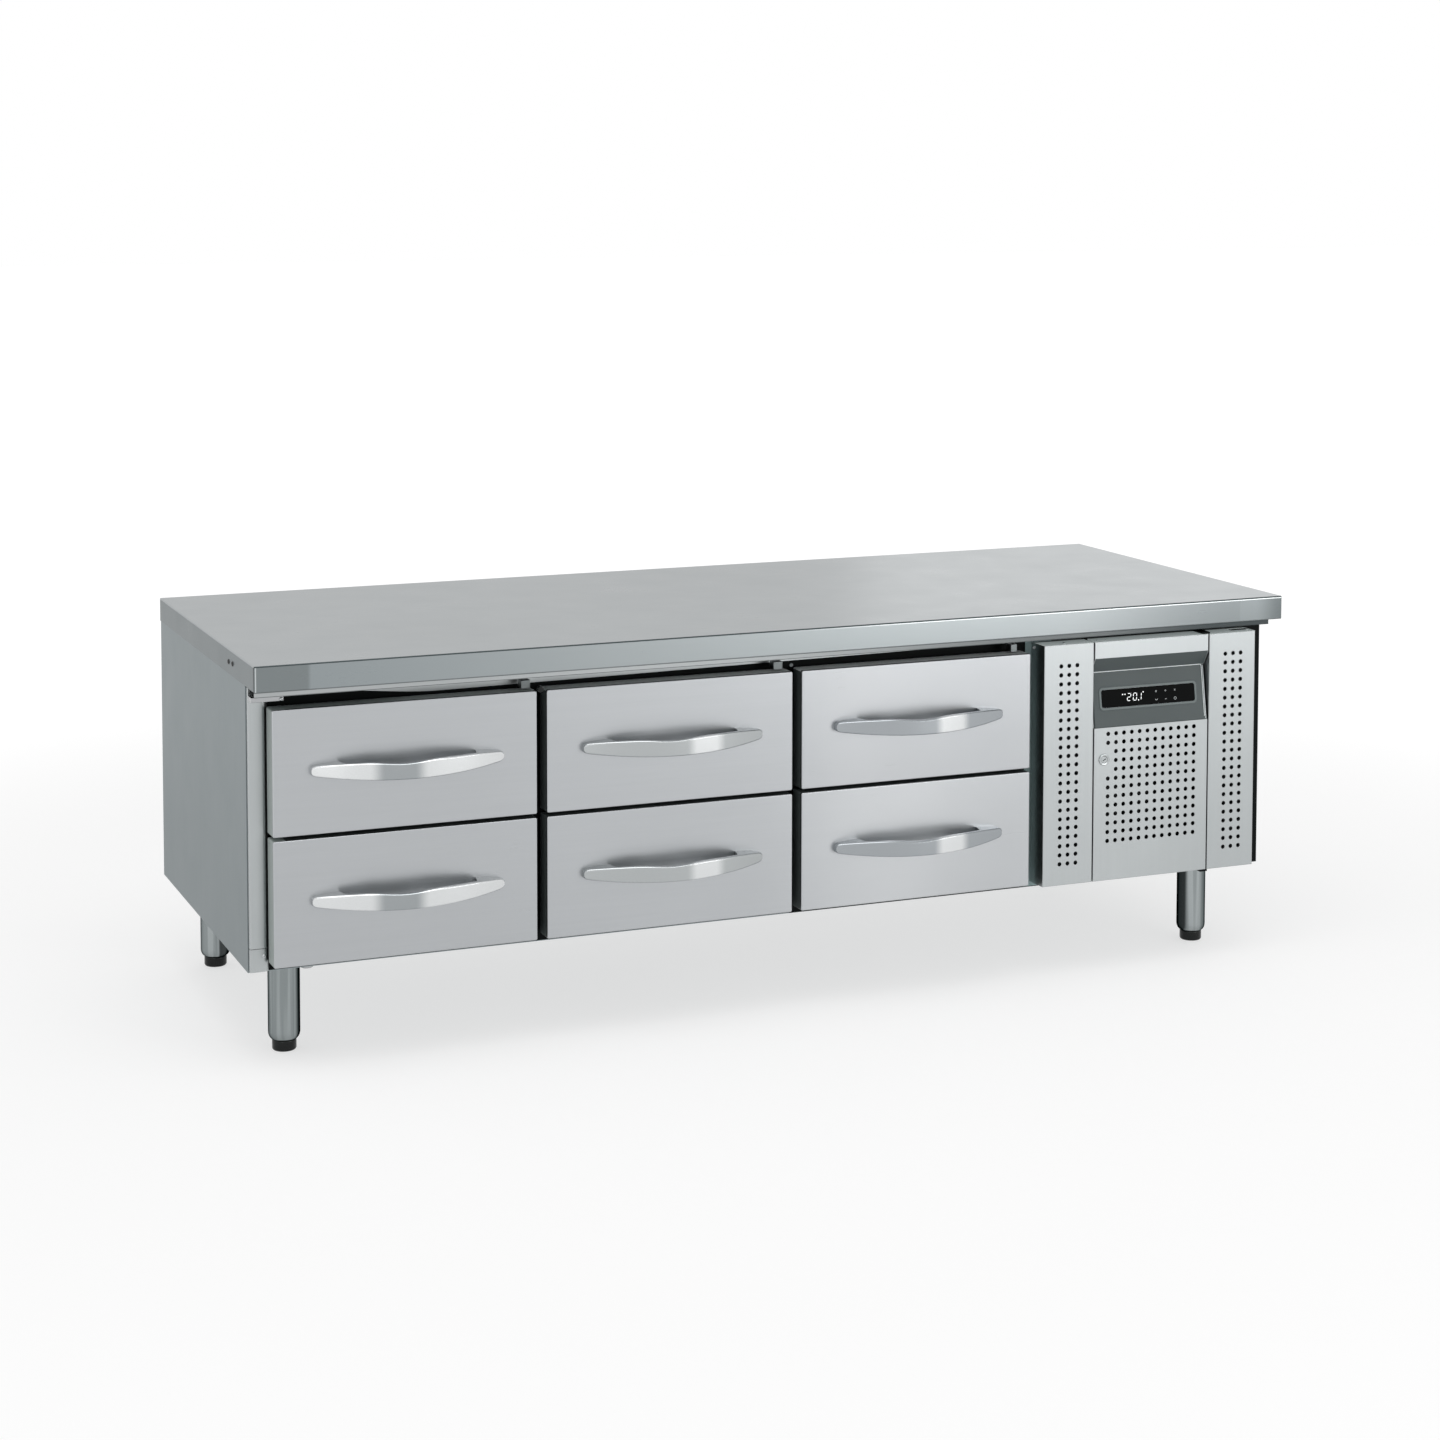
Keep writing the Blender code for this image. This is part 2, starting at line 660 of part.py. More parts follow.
def make_liner():
    """The inner box, pressed in one with the evaporator's chamber."""
    inner = FIT + LINER_SHEET
    front = FRAME_BACK + FIT
    made = box(
        "inner_liner",
        (CAVITY_LEFT + FIT, front, CAVITY_BOTTOM + FIT),
        (CAVITY_RIGHT - FIT, CAVITY_BACK - FIT, CAVITY_TOP - FIT),
        DARK_STEEL,
    )
    chamber = box(
        "liner_chamber",
        (CAVITY_RIGHT - CUT_OVERRUN, CHAMBER_FRONT + FIT, CHAMBER_BOTTOM + FIT),
        (CHAMBER_RIGHT - FIT, CHAMBER_BACK - FIT, CHAMBER_TOP - FIT),
    )
    hollow = box(
        "liner_hollow",
        (CAVITY_LEFT + inner, front - CUT_OVERRUN, CAVITY_BOTTOM + inner),
        (CAVITY_RIGHT - inner, CAVITY_BACK - inner, CAVITY_TOP - inner),
    )
    chamber_hollow = box(
        "liner_chamber_hollow",
        (CAVITY_RIGHT - 2 * CUT_OVERRUN, CHAMBER_FRONT + inner, CHAMBER_BOTTOM + inner),
        (CHAMBER_RIGHT - inner, CHAMBER_BACK - inner, CHAMBER_TOP - inner),
    )
    fuse(made, chamber)
    return cut(made, hollow, chamber_hollow)


def slide_height(level):
    return ledge_height(level) - SLIDE_DROP


def rail_outline(edge, side, height):
    """A slide rail's C section beside an opening's edge. side is 1 where it opens to the right."""
    half = SLIDE_BAR_HEIGHT / 2 + SLIDE_PLAY
    near = edge + side * SLIDE_STANDOFF
    web = near + side * SHEET
    tip = near + side * SLIDE_REACH
    return [
        (near, height - half - SHEET),
        (tip, height - half - SHEET),
        (tip, height - half),
        (web, height - half),
        (web, height + half),
        (tip, height + half),
        (tip, height + half + SHEET),
        (near, height + half + SHEET),
    ]


def make_rack(number):
    """Two posts between the liner's floor and ceiling, with the slide rails fixed to them."""
    left_bay, right_bay = number - 1, number
    plates = []
    if left_bay >= 0:
        plates.append((opening_right(left_bay), -1))
    if right_bay < COLUMN_COUNT:
        plates.append((opening_left(right_bay), 1))
    wall = FIT + LINER_SHEET
    sides = [edge + side * (SLIDE_STANDOFF + SHEET / 2) for edge, side in plates]
    if left_bay < 0:
        sides.append(CAVITY_LEFT + wall + FIT)
    if right_bay >= COLUMN_COUNT:
        sides.append(CAVITY_RIGHT - wall - 2 * FIT - COVER_THICKNESS)
    post_left, post_right = min(sides), max(sides)
    rail_front = FRAME_BACK + FIT
    rail_back = CAVITY_BACK - wall - SLIDE_BACK_GAP
    low = CAVITY_BOTTOM + wall + FIT
    high = CAVITY_TOP - wall - FIT
    name = f"slide_rack_{number + 1}"
    front = rail_front + POST_END_INSET
    made = box(name, (post_left, front, low), (post_right, front + POST_DEPTH, high), DARK_STEEL)
    back = rail_back - POST_END_INSET
    fuse(made, box(f"{name}_rear", (post_left, back - POST_DEPTH, low), (post_right, back, high)))
    for edge, side in plates:
        for level, word in enumerate(LEVELS):
            outline = rail_outline(edge, side, slide_height(level))
            rail = prism(f"{name}_{word}_{side}", outline, "y", rail_front, rail_back)
            fuse(made, rail)
    return made


def make_front(column, level, pivot):
    name = f"drawer_front_{column + 1}_{LEVELS[level]}"
    left, low = drawer_left(column), drawer_bottom(level)
    made = box(
        name, (left, FACE_SETBACK, low), (left + DRAWER_WIDTH, FRONT_BACK, low + DRAWER_HEIGHT), BRUSHED
    )
    bevel(made, FRONT_EDGE_BEVEL)
    return set_origin(made, pivot)


def make_gasket(column, level, pivot):
    """A magnetic gasket with a narrower lip where it meets the frame."""
    left, low = drawer_left(column) + GASKET_INSET, drawer_bottom(level) + GASKET_INSET
    right = drawer_left(column) + DRAWER_WIDTH - GASKET_INSET
    high = drawer_bottom(level) + DRAWER_HEIGHT - GASKET_INSET
    front = FRONT_BACK + FIT
    back = front + GASKET_THICKNESS
    section = [
        (0, front),
        (GASKET_WIDTH, front),
        (GASKET_WIDTH, back - GASKET_LIP),
        (GASKET_WIDTH - GASKET_LIP / 2, back),
        (GASKET_LIP / 2, back),
        (0, back - GASKET_LIP),
    ]
    name = f"drawer_gasket_{column + 1}_{LEVELS[level]}"
    return set_origin(ring(name, (left, low), (right, high), section, "y", RUBBER), pivot)


def make_tray(column, level, pivot):
    """The open frame that carries a pan by its rim, with the moving slide bars on its sides."""
    left = opening_left(column) + TRAY_SIDE_GAP
    right = opening_right(column) - TRAY_SIDE_GAP
    front = FRONT_BACK + FIT
    back = CAVITY_BACK - FIT - LINER_SHEET - TRAY_BACK_GAP
    ledge = ledge_height(level)
    section = [
        (0, ledge + TRAY_RIM),
        (0, ledge - TRAY_SKIRT),
        (SHEET, ledge - TRAY_SKIRT),
        (SHEET, ledge - SHEET),
        (TRAY_LEDGE, ledge - SHEET),
        (TRAY_LEDGE, ledge),
        (SHEET, ledge),
        (SHEET, ledge + TRAY_RIM),
    ]
    name = f"drawer_tray_{column + 1}_{LEVELS[level]}"
    made = ring(name, (left, front), (right, back), section, "z", DARK_STEEL)
    height = slide_height(level)
    half = SLIDE_BAR_HEIGHT / 2
    inner = SLIDE_STANDOFF + SHEET + SLIDE_PLAY
    for edge, side in ((opening_left(column), 1), (opening_right(column), -1)):
        ends = sorted((edge + side * inner, edge + side * (TRAY_SIDE_GAP + SHEET / 2)))
        low = (ends[0], front, height - half)
        high = (ends[1], back, height + half)
        fuse(made, box(f"{name}_slide_{side}", low, high))
    return set_origin(made, pivot)


def crest(x, power):
    """1 in the handle's middle, falling to 0 at its ends along a power curve."""
    return 1 - (abs(x) / (HANDLE_LENGTH / 2)) ** power


def handle_depth(x):
    """How far the handle's outer face stands off the drawer front, at a distance x from its middle."""
    return HANDLE_END_REACH + HANDLE_BOW * crest(x, BOW_POWER)


def grip_depth(x):
    """How far the handle's back stands off the drawer front. It is 0 at the two feet."""
    inside = HANDLE_LENGTH / 2 - HANDLE_FOOT_LENGTH - abs(x)
    if inside <= FIT:
        return 0
    rise = min(inside / HANDLE_FOOT_FILLET, 1)
    return (handle_depth(x) - HANDLE_THICKNESS) * math.sqrt(rise)


def handle_section(x, middle, top):
    """The six corners of the handle's section at x, from its top back edge forwards and down."""
    face = FACE_SETBACK - FIT
    half = HANDLE_LENGTH / 2
    short = max(abs(x) - (half - HANDLE_END_ROUND), 0) / HANDLE_END_ROUND
    draw_in = HANDLE_END_ROUND * (1 - math.sqrt(max(1 - short * short, 0)))
    front = face - handle_depth(x) + draw_in
    back = face - grip_depth(x)
    high = top + HANDLE_ARCH * crest(x, ARCH_POWER) - draw_in
    low = top - HANDLE_END_HEIGHT - HANDLE_BELLY * crest(x, BELLY_POWER) + draw_in
    share = min(abs(x) / HANDLE_SCOOP_HALF, 1)
    scoop = HANDLE_EDGE + HANDLE_SCOOP * (1 + math.cos(math.pi * share)) / 2
    edge = HANDLE_EDGE
    corners = [
        (back, high),
        (front + scoop, high),
        (front, high - scoop),
        (front, low + edge),
        (front + edge, low),
        (back, low),
    ]
    return [(middle + x, y, z) for y, z in corners]


def make_handle(column, level, pivot):
    """A bow handle lofted along its length: a foot at each end, an arched grip between."""
    middle = drawer_left(column) + DRAWER_WIDTH / 2
    top = drawer_bottom(level) + DRAWER_HEIGHT - HANDLE_DROP
    half = HANDLE_LENGTH / 2
    foot = half - HANDLE_FOOT_LENGTH
    span = foot - HANDLE_FOOT_FILLET
    beside = [foot, half - HANDLE_END_ROUND, half - HANDLE_END_ROUND / 3, half]
    places = [-x for x in reversed(beside)]
    places += [span * (2 * i / HANDLE_STATIONS - 1) for i in range(HANDLE_STATIONS + 1)]
    places += beside
    bm = bmesh.new()
    loops = [[bm.verts.new(p) for p in handle_section(x, middle, top)] for x in places]
    for here, there in zip(loops, loops[1:]):
        for i in range(len(here)):
            j = (i + 1) % len(here)
            bm.faces.new((here[i], here[j], there[j], there[i]))
    bm.faces.new(loops[0])
    bm.faces.new(loops[-1])
    bmesh.ops.recalc_face_normals(bm, faces=bm.faces)
    name = f"drawer_handle_{column + 1}_{LEVELS[level]}"
    return set_origin(from_bmesh(name, bm, SATIN, smooth=True), pivot)


def make_drawer(column, level):
    slide = (drawer_left(column) + DRAWER_WIDTH / 2, FRONT_BACK, slide_height(level))
    make_front(column, level, slide)
    make_gasket(column, level, slide)
    make_tray(column, level, slide)
    make_handle(column, level, slide)


def punch(made, columns, rows, left, top, skip=()):
    """Cuts a grid of round air holes into a panel's face. skip lists (column, row) left blank."""
    bm = bmesh.new()
    turn = Matrix.Rotation(math.pi / 2, 4, "X")
    for column in range(columns):
        for row in range(rows):
            if (column, row) in skip:
                continue
            place = (left + column * HOLE_PITCH, FACE_SETBACK, top - row * HOLE_PITCH)
            bmesh.ops.create_cone(
                bm,
                cap_ends=True,
                segments=HOLE_SIDES,
                radius1=HOLE_RADIUS,
                radius2=HOLE_RADIUS,
                depth=2 * CUT_OVERRUN,
                matrix=Matrix.Translation(place) @ turn,
            )
    return cut(made, from_bmesh(f"{made.name}_holes", bm, None))


def make_strip(name, left, flange_sides):
    """A fixed perforated strip: a face with flanges, the one beside the door cut shorter."""
    right = left + STRIP_WIDTH
    back = FRAME_FRONT - FIT
    made = folded(
        name, (left, FACE_SETBACK, GRILLE_BOTTOM), (right, back, GRILLE_TOP), ((0, 1, 0),), BRUSHED
    )
    inner = right if flange_sides > 0 else left
    reach = CUT_OVERRUN / 2
    near = inner - reach if flange_sides > 0 else inner - CUT_OVERRUN
    relief = box(
        f"{name}_flange_cutter",
        (near, FACE_SETBACK + STRIP_INNER_FLANGE, GRILLE_BOTTOM + 2 * SHEET),
        (near + reach + CUT_OVERRUN, back + CUT_OVERRUN, GRILLE_TOP - 2 * SHEET),
    )
    cut(made, relief)
    middle = (left + right) / 2
    first = middle - (STRIP_COLUMNS - 1) / 2 * HOLE_PITCH
    top = (GRILLE_TOP + GRILLE_BOTTOM) / 2 + (STRIP_ROWS - 1) / 2 * HOLE_PITCH
    return punch(made, STRIP_COLUMNS, STRIP_ROWS, first, top)


def make_grilles():
    make_strip("grille_left", GRILLE_LEFT, 1)
    made = make_strip("grille_right", DOOR_RIGHT + PANEL_JOINT, -1)
    middle = GRILLE_RIGHT - STRIP_WIDTH / 4
    depth = (FACE_SETBACK + FRAME_FRONT) / 2
    slot = box(
        "flange_slot_cutter",
        (middle - FLANGE_SLOT_LENGTH / 2, depth - FLANGE_SLOT_DEPTH / 2, GRILLE_TOP - CUT_OVERRUN),
        (middle + FLANGE_SLOT_LENGTH / 2, depth + FLANGE_SLOT_DEPTH / 2, GRILLE_TOP + CUT_OVERRUN),
    )
    return cut(made, slot)


def pivot_place():
    return DOOR_RIGHT - PIVOT_INSET, FACE_SETBACK + PIVOT_INSET


def fascia_corners():
    """The recess in section: band's lower edge, fascia's top edge and fascia's lower edge."""
    band = GRILLE_TOP - DOOR_BAND
    top = band - RECESS_HEIGHT
    return (
        (FACE_SETBACK, band),
        (FACE_SETBACK + RECESS_DEPTH, top),
        (FACE_SETBACK, top - FASCIA_HEIGHT),
    )


def fascia_frame():
    """A frame at the middle of the fascia's top edge: x right, y into the door, z up its face."""
    _, top, low = fascia_corners()
    up = Vector((0, top[0] - low[0], top[1] - low[1])).normalized()
    into = Vector((0, up.z, -up.y))
    middle = (DOOR_LEFT + DOOR_RIGHT) / 2
    frame = Matrix(((1, 0, 0), (0, into.y, up.y), (0, into.z, up.z))).to_4x4()
    return Matrix.Translation((middle, top[0], top[1])) @ frame


def lock_centre():
    return DOOR_LEFT + LOCK_INSET, FACE_SETBACK, GRILLE_TOP - LOCK_DROP


def make_display_cutter(name, play):
    """A block through the fascia and the sheet behind it, in the size of the display's body."""
    bm = bmesh.new()
    size = Matrix.Diagonal(
        (DISPLAY_WIDTH + 2 * play, DISPLAY_DEPTH + 2 * CUT_OVERRUN, DISPLAY_HEIGHT + 2 * play, 1)
    )
    place = Matrix.Translation((DISPLAY_SHIFT, 0, -DISPLAY_DROP))
    bmesh.ops.create_cube(bm, size=1, matrix=fascia_frame() @ place @ size)
    return from_bmesh(name, bm, None)


def make_door():
    """The hinged middle panel: a folded shell with the control recess and the air holes."""
    band, top, low = fascia_corners()
    seat = FASCIA_THICKNESS + FIT
    back = FACE_SETBACK + DOOR_DEPTH
    path = [
        (back, GRILLE_BOTTOM),
        (FACE_SETBACK, GRILLE_BOTTOM),
        (FACE_SETBACK, low[1] - FIT),
        (FACE_SETBACK + seat, low[1] - FIT),
        (top[0] + seat, top[1] + FIT),
        (top[0], top[1] + FIT),
        band,
        (FACE_SETBACK, GRILLE_TOP),
        (back, GRILLE_TOP),
    ]
    made = prism("service_door", path, "x", DOOR_LEFT, DOOR_RIGHT, BRUSHED)
    inner = offset_path(path, -SHEET)
    inner[0] = (back + CUT_OVERRUN, inner[0][1])
    inner[-1] = (back + CUT_OVERRUN, inner[-1][1])
    cut(made, prism("door_hollow", inner, "x", DOOR_LEFT + SHEET, DOOR_RIGHT - SHEET))
    flange = [
        (DOOR_LEFT, back - SHEET),
        (DOOR_LEFT + DOOR_FLANGE_RELIEF, FACE_SETBACK + DOOR_FLANGE_DEPTH),
        (DOOR_RIGHT - SHEET, FACE_SETBACK + DOOR_FLANGE_DEPTH),
        (DOOR_RIGHT - SHEET, back - SHEET),
    ]
    fuse(made, prism("door_top_flange", flange, "z", GRILLE_TOP - SHEET, GRILLE_TOP))
    x, y = pivot_place()
    reach = GRILLE_TOP + CUT_OVERRUN
    low_end = GRILLE_BOTTOM - CUT_OVERRUN
    radius = PIN_RADIUS + PIN_PLAY
    spans = (("top", reach - 2 * CUT_OVERRUN, reach), ("bottom", low_end, low_end + 2 * CUT_OVERRUN))
    for name, start, end in spans:
        cut(made, cylinder(f"pin_hole_{name}", radius, (x, y, 0), "z", start, end, PIN_SIDES))
    bore = LOCK_BARREL_RADIUS + LOCK_PLAY
    lock = lock_centre()
    cut(made, cylinder("lock_hole", bore, lock, "y", -CUT_OVERRUN, CUT_OVERRUN, ROUND_SIDES))
    cut(made, make_display_cutter("display_door_cutter", FIT))
    skip = {(0, row) for row in LOCK_SKIPPED_ROWS}
    first = (DOOR_LEFT + DOOR_RIGHT) / 2 - (DOOR_COLUMNS - 1) / 2 * HOLE_PITCH
    punch(made, DOOR_COLUMNS, DOOR_ROWS, first, GRILLE_TOP - DOOR_HOLES_TOP, skip)
    return set_origin(made, (x, y, GRILLE_BOTTOM))


def make_fascia():
    """The grey control fascia, leaning back into the recess."""
    _, top, low = fascia_corners()
    outline = [
        low,
        top,
        (top[0] + FASCIA_THICKNESS, top[1]),
        (low[0] + FASCIA_THICKNESS, low[1]),
    ]
    left, right = DOOR_LEFT + FASCIA_SIDE_INSET, DOOR_RIGHT - FASCIA_SIDE_INSET
    made = prism("control_fascia", outline, "x", left, right, FASCIA_GREY)
    bevel(made, FASCIA_BEVEL)
    cut(made, make_display_cutter("display_fascia_cutter", FIT))
    x, y = pivot_place()
    return set_origin(made, (x, y, GRILLE_BOTTOM))


def make_display():
    """The controller: a black window with rounded corners and its body behind."""
    half_width, half_height = DISPLAY_WIDTH / 2, DISPLAY_HEIGHT / 2
    bm = bmesh.new()
    corners = []
    for side_x, side_z, start in ((1, 1, 0), (-1, 1, 90), (-1, -1, 180), (1, -1, 270)):
        for step in range(4):
            angle = math.radians(start + 30 * step)
            x = side_x * (half_width - DISPLAY_CORNER) + DISPLAY_CORNER * math.cos(angle)
            z = side_z * (half_height - DISPLAY_CORNER) + DISPLAY_CORNER * math.sin(angle)
            corners.append(bm.verts.new((x + DISPLAY_SHIFT, -DISPLAY_PROUD, z - DISPLAY_DROP)))
    face = bm.faces.new(corners)
    grown = bmesh.ops.extrude_face_region(bm, geom=[face])["geom"]
    moved = [item for item in grown if isinstance(item, bmesh.types.BMVert)]
    bmesh.ops.translate(bm, vec=(0, DISPLAY_DEPTH, 0), verts=moved)
    bmesh.ops.transform(bm, matrix=fascia_frame(), verts=bm.verts)
    bmesh.ops.recalc_face_normals(bm, faces=bm.faces)
    x, y = pivot_place()
    return set_origin(from_bmesh("display", bm, GLOSS_BLACK), (x, y, GRILLE_BOTTOM))


def make_lock():
    """A cam lock: the case fixed in the door, and the plug with its cam, which hangs down."""
    centre = lock_centre()
    head, bore = LOCK_HEAD_RADIUS, LOCK_PLUG_RADIUS + LOCK_PLAY
    back = DOOR_DEPTH + FIT
    profile = [
        (bore, -LOCK_HEAD_PROUD),
        (head - LOCK_HEAD_PROUD / 2, -LOCK_HEAD_PROUD),
        (head, -LOCK_HEAD_PROUD / 2),
        (head, -FIT),
        (LOCK_BARREL_RADIUS, -FIT),
        (LOCK_BARREL_RADIUS, back),
        (bore, back),
        (bore, -LOCK_HEAD_PROUD),
    ]
    x, y = pivot_place()
    case = lathe("lock_case", profile, centre, "y", ROUND_SIDES, CHROME)
    set_origin(case, (x, y, GRILLE_BOTTOM))
    cam_front = back + FIT
    made = cylinder(
        "lock_cam",
        LOCK_PLUG_RADIUS,
        centre,
        "y",
        LOCK_PLUG_RECESS - LOCK_HEAD_PROUD,
        cam_front + CAM_THICKNESS / 2,
        ROUND_SIDES,
        CHROME,
    )
    cx, cy, cz = centre
    cam = box(
        "cam_plate",
        (cx - CAM_WIDTH / 2, cy + cam_front, cz - CAM_LENGTH),
        (cx + CAM_WIDTH / 2, cy + cam_front + CAM_THICKNESS, cz + CAM_WIDTH / 2),
    )
    return set_origin(fuse(made, cam), centre)


def make_leg(name, x, y):
    """A tube with a mounting plate on top, drawn in at the lower end and bored for the stem."""
    bore = STEM_RADIUS + FIT
    depth = LEG_BOTTOM + STEM_LENGTH
    profile = [
        (0, depth),
        (bore, depth),
        (bore, LEG_BOTTOM),
        (LEG_RADIUS - LEG_TAPER, LEG_BOTTOM),
        (LEG_RADIUS - LEG_TAPER / 4, LEG_BOTTOM + LEG_TAPER / 2),
        (LEG_RADIUS, LEG_BOTTOM + 2 * LEG_TAPER),
        (LEG_RADIUS, LEG_TOP - LEG_PLATE_THICKNESS / 2),
        (0, LEG_TOP - LEG_PLATE_THICKNESS / 2),
    ]
    made = lathe(name, profile, (x, y, 0), "z", LEG_SIDES, BRUSHED)
    half = LEG_PLATE / 2
    plate = box(
        f"{name}_plate", (x - half, y - half, LEG_TOP - LEG_PLATE_THICKNESS), (x + half, y + half, LEG_TOP)
    )
    return fuse(made, plate)


def make_foot(name, x, y):
    """A levelling foot on a threaded stem."""
    profile = [
        (0, 0),
        (FOOT_RADIUS - FOOT_CHAMFER, 0),
        (FOOT_RADIUS, FOOT_CHAMFER),
        (FOOT_RADIUS, FOOT_HEIGHT),
        (STEM_RADIUS, FOOT_HEIGHT),
        (STEM_RADIUS, FOOT_HEIGHT + STEM_LENGTH),
        (0, FOOT_HEIGHT + STEM_LENGTH),
    ]
    made = lathe(name, profile, (x, y, 0), "z", LEG_SIDES, FOOT_PLASTIC)
    return set_origin(made, (x, y, 0))


def make_supports():
    places = {
        "front_left": (LEG_X_LEFT, LEG_Y_FRONT),
        "front_right": (WIDTH - LEG_X_RIGHT, LEG_Y_FRONT),
        "rear_left": (LEG_X_LEFT, DEPTH - LEG_Y_REAR),
        "rear_right": (WIDTH - LEG_X_RIGHT, DEPTH - LEG_Y_REAR),
    }
    for where, (x, y) in places.items():
        make_leg(f"leg_{where}", x, y)
        make_foot(f"foot_{where}", x, y)


def comb(name, start, end, low, high, teeth, across, z0, z1, finish):
    """A finned block: a comb outline extruded upwards. across is "x" or "y", the teeth's run."""
    pitch = (end - start) / teeth
    spine = high - (high - low) * FIN_SPINE_SHARE
    outline = [(start, high)]
    for i in range(teeth):
        near = start + i * pitch + pitch * (1 - FIN_FILL_SHARE) / 2
        far = near + pitch * FIN_FILL_SHARE
        outline += [(near, spine), (near, low), (far, low), (far, spine)]
    outline[1] = (start + pitch * (1 - FIN_FILL_SHARE) / 2, spine)
    outline.insert(1, (start, spine))
    outline += [(end, spine), (end, high)]
    if across == "y":
        outline = [(b, a) for a, b in outline]
    return prism(name, outline, "z", z0, z1, finish)


def make_machine_base():
    low = (MACHINE_LEFT + BASE_INSET, FRAME_BACK + BASE_INSET, FLOOR_TOP + FIT)
    high = (MACHINE_RIGHT - BASE_INSET, DEPTH - CASE_SHEET - BASE_INSET, FLOOR_TOP + FIT + BASE_LIP)
    return folded("machine_base", low, high, ((0, 0, 1),), DARK_STEEL)


def condenser_place():
    """Left end, front face and bottom of the condenser."""
    left = MACHINE_LEFT + CONDENSER_SIDE_GAP
    return left, FRAME_BACK + BASE_INSET + SHEET + CONDENSER_SETBACK, BASE_FLOOR + FIT


def fan_centre():
    left, front, low = condenser_place()
    middle = low + CONDENSER_HEIGHT / 2
    return left + CONDENSER_WIDTH / 2, front + CONDENSER_DEPTH + SHROUD_THICKNESS + FAN_TIP_GAP, middle


def make_condenser():
    """The finned coil that shows through the grille, with the plate that guides the fan's air."""
    left, front, low = condenser_place()
    right, back, high = left + CONDENSER_WIDTH, front + CONDENSER_DEPTH, low + CONDENSER_HEIGHT
    made = comb(
        "condenser", left, right, front, back, CONDENSER_FINS, "x", low, high, FIN_ALUMINIUM
    )
    spine = CONDENSER_DEPTH * FIN_SPINE_SHARE
    plate_back = back + SHROUD_THICKNESS
    plate = box("shroud_plate", (left, back - spine / 2, low), (right, plate_back, high))
    fuse(made, plate)
    x, _, z = fan_centre()
    mouth = cylinder(
        "shroud_mouth",
        FAN_RADIUS,
        (x, plate_back, z),
        "y",
        -SHROUD_THICKNESS - spine / 4,
        CUT_OVERRUN,
        2 * ROUND_SIDES,
    )
    return cut(made, mouth)


def fan_blades(name, radius, hub, depth, blades, thickness):
    """Twisted blades round the z axis, each a thin block between hub and tip."""
    bm = bmesh.new()
    for number in range(blades):
        turn = math.tau * number / blades
        rings = []
        for reach, share in zip((hub * BLADE_ROOT_SHARE, radius), FAN_TWIST_SHARES):
            half = depth / 2 * share
            sweep = math.pi / blades * BLADE_SWEEP_SHARE
            corners = []
            for side in (-1, 1):
                angle = turn + side * sweep
                for face in (-1, 1):
                    height = side * half + face * thickness / 2
                    corners.append((reach * math.cos(angle), reach * math.sin(angle), height))
            rings.append([bm.verts.new(c) for c in (corners[0], corners[1], corners[3], corners[2])])
        inner, outer = rings
        for i in range(len(inner)):
            j = (i + 1) % len(inner)
            bm.faces.new((inner[j], inner[i], outer[i], outer[j]))
        bm.faces.new(inner)
        bm.faces.new(outer[::-1])
    return bm


def make_fan(name, centre, axis, radius, hub, depth):
    """A fan with its hub, turning on the motor's shaft."""
    bore = SHAFT_RADIUS + PIN_PLAY
    profile = [(bore, 0), (hub, 0), (hub, depth), (bore, depth), (bore, 0)]
    made = lathe(name, profile, centre, axis, ROUND_SIDES, BLACK_PAINT)
    bm = fan_blades(name, radius, hub, depth, FAN_BLADES, FAN_BLADE_THICKNESS)
    bmesh.ops.translate(bm, vec=(0, 0, depth / 2), verts=bm.verts)
    turn = {"x": Matrix.Rotation(math.pi / 2, 4, "Y"), "y": Matrix.Rotation(-math.pi / 2, 4, "X")}[axis]
    bmesh.ops.transform(bm, matrix=Matrix.Translation(centre) @ turn, verts=bm.verts)
    fuse(made, from_bmesh(f"{name}_blades", bm, None))
    return set_origin(made, centre)


def motor_profile(radius, length, shaft):
    """Outline of a motor with its shaft pointing back towards the fan."""
    end = radius * MOTOR_END_SHARE
    rounding = length * MOTOR_ROUNDING_SHARE
    return [
        (0, -shaft),
        (SHAFT_RADIUS, -shaft),
        (SHAFT_RADIUS, 0),
        (end, 0),
        (radius, rounding),
        (radius, length - rounding),
        (end, length),
        (0, length),
    ]


def make_condenser_motor():
    """The motor, carried behind the fan by a strap bolted to the shroud plate."""
    x, y, z = fan_centre()
    back = y + FAN_DEPTH + FAN_TIP_GAP
    shaft = FAN_DEPTH + FAN_TIP_GAP
    profile = motor_profile(MOTOR_RADIUS, MOTOR_LENGTH, shaft)
    made = lathe("condenser_fan_motor", profile, (x, back, z), "y", ROUND_SIDES, BLACK_PAINT)
    near = y - FAN_TIP_GAP + FIT
    far = back + MOTOR_LENGTH / 2
    reach = (CONDENSER_WIDTH / 2 + FAN_RADIUS) / 2
    path = [
        (x - reach - STRAP_WIDTH / 2, near),
        (x - reach, near),
        (x - reach, far),
        (x + reach, far),
        (x + reach, near),
        (x + reach + STRAP_WIDTH / 2, near),
    ]
    outline = path + offset_path(path, STRAP_THICKNESS)[::-1]
    strap = prism("motor_strap", outline, "z", z - STRAP_WIDTH / 2, z + STRAP_WIDTH / 2)
    return fuse(made, strap)


def compressor_centre():
    return MACHINE_RIGHT - COMPRESSOR_X, DEPTH - COMPRESSOR_Y, BASE_FLOOR + FIT


